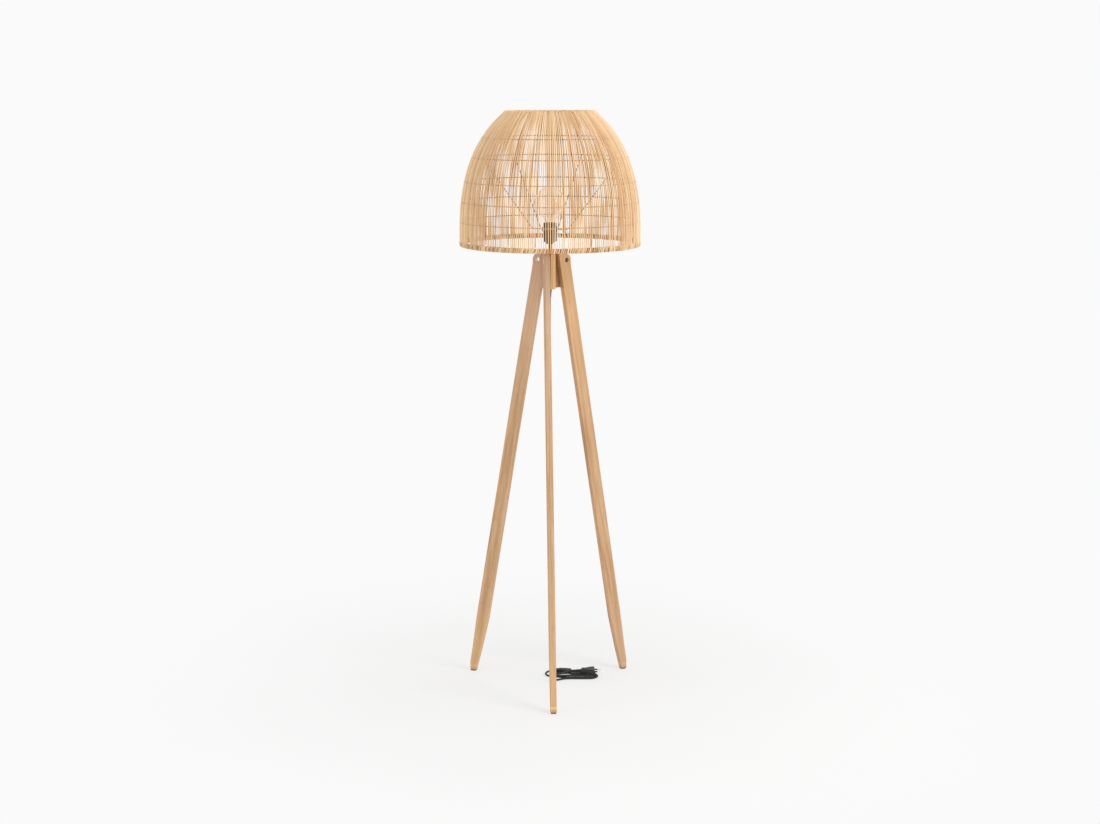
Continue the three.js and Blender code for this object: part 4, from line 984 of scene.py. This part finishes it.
STEM_TOP = GLASS_BOTTOM + 24 * MM
FILAMENT_REACH, FILAMENT_DIAMETER = mm(16, 1.8)
FILAMENT_LOW, FILAMENT_HIGH = STEM_TOP + 3 * MM, STEM_TOP + 39 * MM


def around(radius, azimuth, height):
    """A place about the lamp's axis. Azimuth 0 is towards the camera."""
    return radius * np.sin(azimuth), -radius * np.cos(azimuth), height


line = [(0, 0, STEM_TOP + 1.2 * MM)]
for i in range(4):
    ends = (FILAMENT_HIGH, FILAMENT_LOW) if i % 2 else (FILAMENT_LOW, FILAMENT_HIGH)
    line += [around(FILAMENT_REACH, (i + 0.5) / 4 * 2 * pi, height) for height in ends]
filament = wire(line, FILAMENT_DIAMETER, sides=10, straight=True)
settle(filament, "bulb_filament_strips", phosphor, "filament", "bulb_filament")


# %% [markdown]
# ## Shade outline
#
# In side view the canes follow one curve: upright at the rim, leaning in over the shoulder and
# steep again at the mouth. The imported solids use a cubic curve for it, and the same curve, a
# few millimetres closer at the mouth, gives every ring, rib and cane its place here.

# %% Outline curve
CANE_BOTTOM, CANE_TOP = mm(1179.7, 1516.4)
OUTLINE = [
    (231.9 * MM, CANE_BOTTOM), (231.9 * MM, CANE_BOTTOM + 60.4 * MM),
    (242.5 * MM, CANE_TOP - 102.8 * MM), (117.5 * MM, CANE_TOP),
]
SHADE_BOTTOM, SHADE_HEIGHT = mm(1177.9, 342)
HOOP_HEIGHTS = [SHADE_BOTTOM + share * SHADE_HEIGHT
                for share in (0.179, 0.327, 0.478, 0.658, 0.806)]
BUNDLES = 20
BUNDLE_GAP = radians(-8)
BUNDLE_PITCH = 2 * pi / BUNDLES


def outline(share):
    """The outline's radius and height, and its direction, at a share of the curve."""
    rest = 1 - share
    place = [rest ** 3 * a + 3 * rest * rest * share * b + 3 * rest * share * share * c
             + share ** 3 * d for a, b, c, d in zip(*OUTLINE)]
    ahead = [3 * rest * rest * (b - a) + 6 * rest * share * (c - b) + 3 * share * share * (d - c)
             for a, b, c, d in zip(*OUTLINE)]
    size = np.hypot(*ahead)
    return place, (ahead[0] / size, ahead[1] / size)


def outline_at(height, depth=0.0):
    """The place on the outline at a height, moved in along its normal by depth."""
    low, high = 0.0, 1.0
    for _ in range(40):
        middle = (low + high) / 2
        if outline(middle)[0][1] < height:
            low = middle
        else:
            high = middle
    (radius, level), (out_, up) = outline(low)
    return radius - up * depth, level + out_ * depth


print("outline", [tuple(round(v, 3) for v in outline(i / 4)[0]) for i in range(5)])


# %% [markdown]
# ## Canes
#
# Some two hundred and fifty canes stand in twenty bundles of twelve or thirteen, with a wider gap
# and a frame wire between bundles. At the rim they stand a cane's width apart, at the mouth they
# touch, and there each one bends over the mouth ring. None is quite straight or evenly spaced,
# and that gives the shade its rippled look. One straight stick is modelled, and each copy's rings
# are laid along the outline with a wander of its own.

# %% One straight stick
CANE_DIAMETER, CANE_SIDES = 2.7 * MM, 8
OUTLINE_RINGS, CURL_RINGS = 20, 7
CANE_RINGS = OUTLINE_RINGS + CURL_RINGS
RIM_GAP, UPPER_GAP = radians(2.9), radians(1.85)
GAP_CLOSES_AT = 0.25
CURL_START, CURL_TURN = 38, 150
MOUTH_RADIUS, MOUTH_LEVEL, MOUTH_CORE = mm(113.3, 1515.7, 3.0)


def points_of(mesh):
    """The x, y and z of a mesh's points, each as a row."""
    row = np.empty(len(mesh.vertices) * 3)
    mesh.vertices.foreach_get("co", row)
    return row.reshape(-1, 3).T


def in_threes(rows):
    """Rows of x, y and z as one list, point by point."""
    return np.stack(rows, axis=1).ravel()


def noted_copy(mesh, place, notes):
    """A copy of a mesh at new points, with notes for the cane material at each point."""
    mesh = mesh.copy()
    mesh.vertices.foreach_set("co", in_threes(place))
    notes = in_threes(np.broadcast_arrays(place[0], *notes)[1:])
    mesh.attributes.new("cane", "FLOAT_VECTOR", "POINT").data.foreach_set("vector", notes)
    return add("cane", mesh)


stick = grown([(1.0, i) for i in range(CANE_RINGS)], CANE_SIDES)
stick_x, stick_y, stick_z = points_of(stick.data)
stick_ring = np.rint(stick_z).astype(int)
print("stick faces", len(stick.data.polygons))

# %% Lay the canes
dice = random.Random(7)


def cane_course(sunk):
    """The middle of a cane at each ring, as radius, height and the direction in which it runs."""
    (radius, height), (out_, up) = outline(0.97 * np.arange(OUTLINE_RINGS) / (OUTLINE_RINGS - 1))
    reach = MOUTH_CORE / 2 + CANE_DIAMETER / 2 + dice.uniform(-0.9, 0.6) * MM
    turn = np.radians(CURL_START + np.arange(CURL_RINGS) / (CURL_RINGS - 1) * CURL_TURN)
    wide, high = np.cos(turn), np.sin(turn)
    return np.hstack([(radius - up * sunk, height + out_ * sunk, out_, up),
                      (MOUTH_RADIUS + reach * wide, MOUTH_LEVEL + reach * high, -high, wide)])


def ripple(size, turns):
    """A wave along a cane, with a size and a start of its own."""
    start, width = dice.uniform(0, 2 * pi), dice.gauss(0, size)
    return lambda share: width * np.sin(start + turns * share)


def cane_wander(restless):
    """How far a cane strays, sideways as an angle and inwards, at each point of the stick."""
    slow, quick, shift = ripple(0.3 * restless, 4), ripple(0.14 * restless, 13), dice.gauss(0, 0.06)
    dip = ripple(0.6, 7)
    share = np.minimum(1, stick_ring / (OUTLINE_RINGS - 1))
    room = ease(share / 0.55) * (1 - 0.75 * ease((share - 0.75) / 0.25))
    sideways = np.radians(shift + room * (slow(share) + quick(share)))
    return sideways, room * np.maximum(0, dip(share)) * MM


def lay_cane(rim_azimuth, upper_azimuth, restless):
    """One cane, from its place at the rim to its place in the closer rows above."""
    sideways, inwards = cane_wander(restless)
    thick = CANE_DIAMETER / 2 * dice.uniform(0.8, 1.12)
    course = cane_course(CANE_DIAMETER / 2 + dice.uniform(-0.1, 0.3) * MM)
    radius, height, out_, up = course[:, stick_ring]
    spin = dice.uniform(0, 2 * pi)
    rise = thick * (stick_x * np.cos(spin) - stick_y * np.sin(spin)) - inwards
    aside = thick * (stick_x * np.sin(spin) + stick_y * np.cos(spin)) / radius
    share = stick_ring / (CANE_RINGS - 1)
    azimuth = (rim_azimuth + (upper_azimuth - rim_azimuth) * ease(share / GAP_CLOSES_AT)
               + sideways + aside)
    place = around(radius + up * rise, azimuth, height - out_ * rise)
    return noted_copy(stick.data, place, (share, dice.random(), dice.random()))


cane_azimuths = []
for panel in range(BUNDLES // 2):
    row = []
    for bundle in (2 * panel, 2 * panel + 1):
        middle = BUNDLE_GAP + (bundle + 0.5) * BUNDLE_PITCH
        count = 12 + bundle % 2
        restless = 0.35 if bundle == 0 else dice.uniform(0.5, 1.15)
        for i in range(count):
            offset = i / (count - 1) - 0.5
            rim_azimuth = middle + offset * (BUNDLE_PITCH - RIM_GAP)
            cane_azimuths.append(rim_azimuth)
            row.append(lay_cane(
                rim_azimuth, middle + offset * (BUNDLE_PITCH - UPPER_GAP), restless))
    canes = join(row)
    face_out(canes)
    number = f"{panel + 1:02d}"
    settle(smooth(canes, 80), f"canes_{number}", cane_skin, "cane", f"cane_panel_{number}")
bpy.data.objects.remove(stick)
print("canes", len(cane_azimuths))


# %% [markdown]
# ## Hoops, ribs and thread
#
# Five wire hoops stand inside the canes and the ribs inside the hoops. A thread is twined round
# every cane at each hoop. It passes outside one cane and inside the next, and a second thread
# does the opposite, which a ring of many segments shows when its radius swings in and out once
# for every two canes.

# %% Hoops
HOOP_DEPTH, HOOP_DIAMETER = mm(4.0, 2.1)


def torus(radius, level, thick, sides, steps=160):
    """A round ring about the lamp's axis."""
    deselect()
    bpy.ops.mesh.primitive_torus_add(
        major_segments=steps, minor_segments=sides, major_radius=radius, minor_radius=thick,
        location=(0, 0, level))
    return bpy.context.object


for number, height in enumerate(HOOP_HEIGHTS, start=1):
    hoop = torus(*outline_at(height, HOOP_DEPTH), HOOP_DIAMETER / 2, 8)
    settle(smooth(hoop, 60), f"hoop_wire_{number}", wire_paint, "wire", f"hoop_{number}")


# %% Twined thread
THREAD_DEPTH, THREAD_RADIUS = CANE_DIAMETER / 2, 0.3 * MM
THREAD_SWING, THREAD_RISE = mm(1.6, 0.4)
THREAD_STEPS = 4
UNIT_THREAD = 0.1


def twined_thread(height, phase):
    """A thread that passes outside and inside the canes in turn."""
    thread = torus(1, 0, UNIT_THREAD, 4, len(cane_azimuths) * THREAD_STEPS)
    x, y, z = points_of(thread.data)
    angle = np.mod(np.arctan2(x, -y) - BUNDLE_GAP, 2 * pi)
    canes_at = np.sort(np.mod(np.array(cane_azimuths) - BUNDLE_GAP, 2 * pi))
    swing = np.cos(pi * np.interp(angle, canes_at, np.arange(len(canes_at))) + phase)
    radius, level = outline_at(height, THREAD_DEPTH)
    thick = THREAD_RADIUS / UNIT_THREAD
    reach = radius + THREAD_SWING * swing + (np.hypot(x, y) - 1) * thick
    rise = level + z * thick + THREAD_RISE * cos(phase)
    place = around(reach, angle + BUNDLE_GAP, rise)
    thread.data.vertices.foreach_set("co", in_threes(place))
    return thread


for number, height in enumerate(HOOP_HEIGHTS, start=1):
    thread = smooth(join([twined_thread(height, 0), twined_thread(height, pi)]), 60)
    settle(thread, f"thread_{number}", thread_jute, "cane_binding")


# %% Ribs
RIB_DEPTH, RIB_DIAMETER = mm(7.1, 1.7)
RIB_BOTTOM, RIB_BEND = mm(1192.0, 8)
RIB_ASIDE = radians(-1.2)
RIB_STEPS, RIB_BEND_STEPS = 10, 5


def hairpin(first_azimuth):
    """Two ribs are one wire, bent over below the mouth ring."""
    rise = CANE_TOP - RIB_BEND - RIB_BOTTOM
    half = [(0, RIB_BOTTOM + i / RIB_STEPS * rise) for i in range(RIB_STEPS)]
    bend_angle = RIB_BEND / outline_at(CANE_TOP, RIB_DEPTH)[0]
    for i in range(RIB_BEND_STEPS):
        turn = i / (RIB_BEND_STEPS - 1) * pi / 2
        half.append((bend_angle * (1 - cos(turn)), CANE_TOP - RIB_BEND * (1 - sin(turn))))
    course = half + [(BUNDLE_PITCH / 2, CANE_TOP)]
    course += [(BUNDLE_PITCH - along, height) for along, height in reversed(half)]
    line = []
    for along, height in course:
        radius, level = outline_at(height, RIB_DEPTH)
        line.append(around(radius, first_azimuth + along, level))
    return line


for number in range(1, BUNDLES // 2 + 1):
    rib = wire(hairpin(BUNDLE_GAP + RIB_ASIDE + 2 * (number - 1) * BUNDLE_PITCH), RIB_DIAMETER)
    settle(rib, f"rib_wire_{number:02d}", rib_paint, "wire", f"rib_{number:02d}")
paint(bpy.data.objects["rim_wire"], wire_paint)


# %% [markdown]
# ## Rim and mouth bindings
#
# The rim is wrapped with flat cane, about one slanted turn over the foot of each cane. A dark core
# under the turns shows in the seams between them as painted shade. One turn is a band bent round
# the rim's section. It is modelled once and copied round the rim, each copy a little turned and
# tinted. The mouth has a plain ring in the same dark colour, which the bent ends of the canes
# cover, so that it shows between them as painted shade.

# %% One wrap of the binding
WRAP_SECTION = (3.5 * MM, 6.0 * MM)
WRAP_ROUNDNESS, WRAP_CORNERS = 0.55, 12
WRAP_WIDTH, WRAP_THICKNESS, WRAP_SLANT = mm(4.9, 0.6, 3.2)


def wrap_band():
    """A closed flat band round the rim's soft-cornered section. It runs along Y."""
    deselect()
    bpy.ops.mesh.primitive_circle_add(vertices=WRAP_CORNERS, radius=1, fill_type="NOTHING")
    band = bpy.context.object
    for i, vertex in enumerate(band.data.vertices):
        turn = i / WRAP_CORNERS * 2 * pi
        inward, up = [half * copysign(abs(part) ** WRAP_ROUNDNESS, part)
                      for half, part in zip(WRAP_SECTION, (cos(turn), sin(turn)))]
        vertex.co = (inward, -WRAP_WIDTH / 2, up)
    edit(band)
    bpy.ops.mesh.extrude_edges_move(TRANSFORM_OT_translate={"value": (0, WRAP_WIDTH, 0)})
    out()
    face_out(band)
    modify(band, "SOLIDIFY", thickness=WRAP_THICKNESS, offset=1)
    return band


# %% Wind the rim
RIM_TURNS = 258
RIM_RADIUS, RIM_LEVEL = mm(228.7, 1183.4)
RIM_CORE_THICK, RIM_CORE_TALL = mm(3.3, 5.5)


def wrap_copy(band, number):
    """One copy of the wrap at its place on the rim, at a slant and a little turned."""
    inward, along, up = points_of(band.data)
    azimuth = number / RIM_TURNS * 2 * pi + dice.gauss(0, 0.45) * MM / RIM_RADIUS
    lean = WRAP_SLANT + dice.gauss(0, 0.7) * MM
    proud = dice.uniform(-0.35, 0.2) * MM
    wide = dice.choice((0.55, 0.75, 0.85, 0.9, 1.0))
    reach = RIM_RADIUS - inward * (1 + proud / inward.max())
    where = azimuth + (along * wide + lean * up / (up.max() - up.min())) / RIM_RADIUS
    tint = min(1, max(0, dice.gauss(0.45, 0.3)))
    return noted_copy(
        band.data, around(reach, where, up + RIM_LEVEL), (number / 7, tint, dice.random()))


band = wrap_band()
rim = join([wrap_copy(band, number) for number in range(RIM_TURNS)])
face_out(rim)
smooth(rim, 40)
bpy.data.objects.remove(band)
# The dark core shows in the seams between the turns as painted shade.
core = torus(RIM_RADIUS, RIM_LEVEL, RIM_CORE_THICK, 12)
core.scale.z = RIM_CORE_TALL / RIM_CORE_THICK
settle(smooth(core, 60), "rim_wrapping_core", seam_shade_skin, "cane_binding")
settle(rim, "rim_wrapping", binding_skin, "cane_binding", "rim_binding")
# The mouth ring has the same dark colour, as painted shade between the bent cane ends.
mouth = torus(MOUTH_RADIUS, MOUTH_LEVEL, MOUTH_CORE / 2, 10)
settle(smooth(mouth, 60), "mouth_core", seam_shade_skin, "cane_binding", "mouth_ring")


# %% [markdown]
# ## Carrier
#
# A punched plate lies between the two clamp rings. Four wires run out from it like a cross, level
# at first, then bent up in a straight line to the fourth hoop. The cross is turned a little: in
# the photo two of its wires climb steeply beside the bulb and two lean far out. All four have
# the same course, so it is worked out once and laid at each azimuth.

# %% Carrier
CARRIER_LEVEL = 1219.1 * MM
ARM_DIAMETER, ARM_COUNT, FIRST_ARM_DEG = 2.5 * MM, 4, 65
ARM_START, ARM_FLAT_END, ARM_BEND = mm(18.8, 50, 9)
ARM_BEND_STEPS = 6

plate = turned((
    (17.6, -1), (19.8, -1), (20.0, -0.8), (20.0, 0.8), (19.8, 1), (17.6, 1), (17.6, -1),
), 64, CARRIER_LEVEL, hollow=True)
hoop_place = Vector(outline_at(HOOP_HEIGHTS[3], HOOP_DEPTH))
shoulder = Vector((ARM_FLAT_END, CARRIER_LEVEL))
climb = (hoop_place - shoulder).normalized()
start, end = shoulder - Vector((ARM_BEND, 0)), shoulder + climb * ARM_BEND
course = [Vector((ARM_START, CARRIER_LEVEL)), Vector((30 * MM, CARRIER_LEVEL))]
course += [bend(start, shoulder, end, i / ARM_BEND_STEPS) for i in range(ARM_BEND_STEPS + 1)]
course += [shoulder + climb * 60 * MM, hoop_place - climb * 1.8 * MM]
arms = []
for arm in range(ARM_COUNT):
    azimuth = radians(FIRST_ARM_DEG + 360 / ARM_COUNT * arm)
    line = [around(p.x, azimuth, p.y) for p in course]
    arms.append(wire(line, ARM_DIAMETER, sides=10, straight=True))
settle(join([plate] + arms), "carrier_wires", rib_paint, "wire", "shade_carrier")


# %% [markdown]
# ## Switch and plug
#
# Both are moulded in black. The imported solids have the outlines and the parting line, so they are
# rounded and kept. The plug's sleeve is grown with grooves like the outlet's, and the pins are
# turned from nickel-plated brass with a short black sleeve next to the body.

# %% Switch
for node, name, width, body in (
        ("switch_base", "switch_lower", 0.5 * MM, "root"),
        ("switch_cover", "switch_upper", 0.5 * MM, "root"),
        ("switch_rocker", "rocker_key", 0.4 * MM, "switch_rocker")):
    settle(rounded_copy(node, width), name, plastic_black, "black_plastic", node, body=body)

# %% Plug
PLUG_END, PLUG_SLEEVE_START = mm(121.3, 64.7)
FRONT_PIN_Y, REAR_PIN_Y = mm(43, 62)
PIN_ROWS = (1.7, 7.3), (1.98, 7.4), (1.98, 16.6), (1.9, 17.6), (1.5, 18.5), (0.9, 18.95), (0.3, 19)
COLLAR_ROWS = (1.8, 0), (2.0, 0.1), (2.0, 6.9), (1.9, 7.2), (1.7, 7.25)


def along_plug(piece, x, y):
    """Lays a turned piece down, along the plug's axis."""
    piece.rotation_euler = (0, pi / 2, 0)
    piece.location = (x, y, PLUG_AXIS)
    return piece


plug = rounded_copy("plug_body", 0.9 * MM)
settle(plug, "plug_moulding", plastic_black, "black_plastic", "plug_body")
plug_sleeve = along_plug(sleeve(*mm(20, 4.4, 2.8, 0.6)), PLUG_SLEEVE_START, HANK_MIDDLE_Y)
settle(plug_sleeve, "plug_sleeve", plastic_black, "black_plastic", "plug_relief")
for node, y in (("plug_pin_front", FRONT_PIN_Y), ("plug_pin_rear", REAR_PIN_Y)):
    pin = along_plug(turned(PIN_ROWS, 24), PLUG_END, y)
    settle(pin, f"{node}_turned", nickel, "steel", node)
    collar = along_plug(turned(COLLAR_ROWS, 24), PLUG_END, y)
    settle(collar, f"{node}_collar", plastic_black, "black_plastic")

# %% Ride the cord on the lamp
for piece, node in ((lead, "cord_lead"), (hank, "cord_hank")):
    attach(piece, "root")
    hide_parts(node)
    print(piece.name, "rides on root")


# %% [markdown]
# ## Floor and light
#
# The photo has a white studio floor that runs into a white wall, with only a faint shadow. The
# floor shows its own brightness to the camera and takes a small share of the light, so the shadow
# stays soft. A large lamp stands at the right, a weaker one at the left, and the world fills in.
# Near the lamp the floor's own glow is painted a little darker, as a painted shadow.

# %% Floor
def seen_by_eye(tree):
    """1 for what the camera sees straight, in a reflection or through glass, and 0 for light."""
    path = put(tree, "LightPath").outputs
    seen = maths(tree, "MAXIMUM", path["Is Camera Ray"], path["Is Glossy Ray"])
    return maths(tree, "MAXIMUM", seen, path["Is Transmission Ray"])


def stage_material():
    """White that glows a little to the camera, less so near the lamp so its shadow shows, and
    painted darker there.
    """
    material, tree, shader = new_material("studio_white")
    where = on_object(tree)
    near = put(tree, "VectorMath", {0: where}, operation="LENGTH").outputs["Value"]
    clouds = spread(tree, noise(tree, where, 1.5, 2), 0.4, 0.6)
    feed(tree, shader.inputs, {
        "Base Color": mixed(tree, clouds, screen(240, 240, 240), screen(243, 243, 243)),
        "Roughness": 0.9,
    })
    # Painted shadow: the glow goes from 243 at the lamp's foot to 250 further out.
    shadow_wash = mixed(tree, spread(tree, near, 0.1, 0.9), screen(243, 243, 243), screen(250, 250, 250))
    glow = put(tree, "Emission", {"Color": shadow_wash, "Strength": 1})
    share = maths(tree, "MULTIPLY", seen_by_eye(tree), spread(tree, near, 0.35, 1.3, 0.6, 1))
    blend = put(tree, "MixShader", {0: share, 1: shader.outputs[0], 2: glow.outputs[0]})
    feed(tree, tree.nodes["Material Output"].inputs, {"Surface": blend.outputs[0]})
    return material


FLOOR_SIZE = 24

deselect()
bpy.ops.mesh.primitive_plane_add(size=FLOOR_SIZE, location=(0, 0, 0))
floor = bpy.context.object
floor.name = "studio_floor"
floor.data.materials.append(stage_material())
print("floor", FLOOR_SIZE, "m wide")

# %% World
WORLD_FILL = 0.84

world = bpy.data.worlds.new("studio")
bpy.context.scene.world = world
world.use_nodes = True
tree = world.node_tree
fill = tree.nodes["Background"]
feed(tree, fill.inputs, {"Color": (1, 1, 1, 1), "Strength": WORLD_FILL})
white = put(tree, "Background", {"Color": screen(250, 250, 250), "Strength": 1})
either = put(tree, "MixShader", {0: seen_by_eye(tree), 1: fill.outputs[0], 2: white.outputs[0]})
feed(tree, tree.nodes["World Output"].inputs, {"Surface": either.outputs[0]})
print("world fill", WORLD_FILL)


# %% Lamps
def area_lamp(name, place, aim, size, watts, colour):
    """A square lamp that points at a place."""
    deselect()
    turn = (Vector(aim) - Vector(place)).to_track_quat("-Z", "Y").to_euler()
    bpy.ops.object.light_add(type="AREA", location=place, rotation=turn)
    lamp = bpy.context.object
    lamp.name = name
    lamp.data.size = size
    lamp.data.energy = watts
    lamp.data.color = colour
    print(name, watts, "W")


area_lamp("window_right", (3.6, -2.6, 3.4), (0, 0, 1.0), 2.2, 104, (1, 0.98, 0.95))
area_lamp("card_left", (-3.4, -2.4, 1.6), (0, 0, 0.9), 2.0, 12, (1, 1, 1))
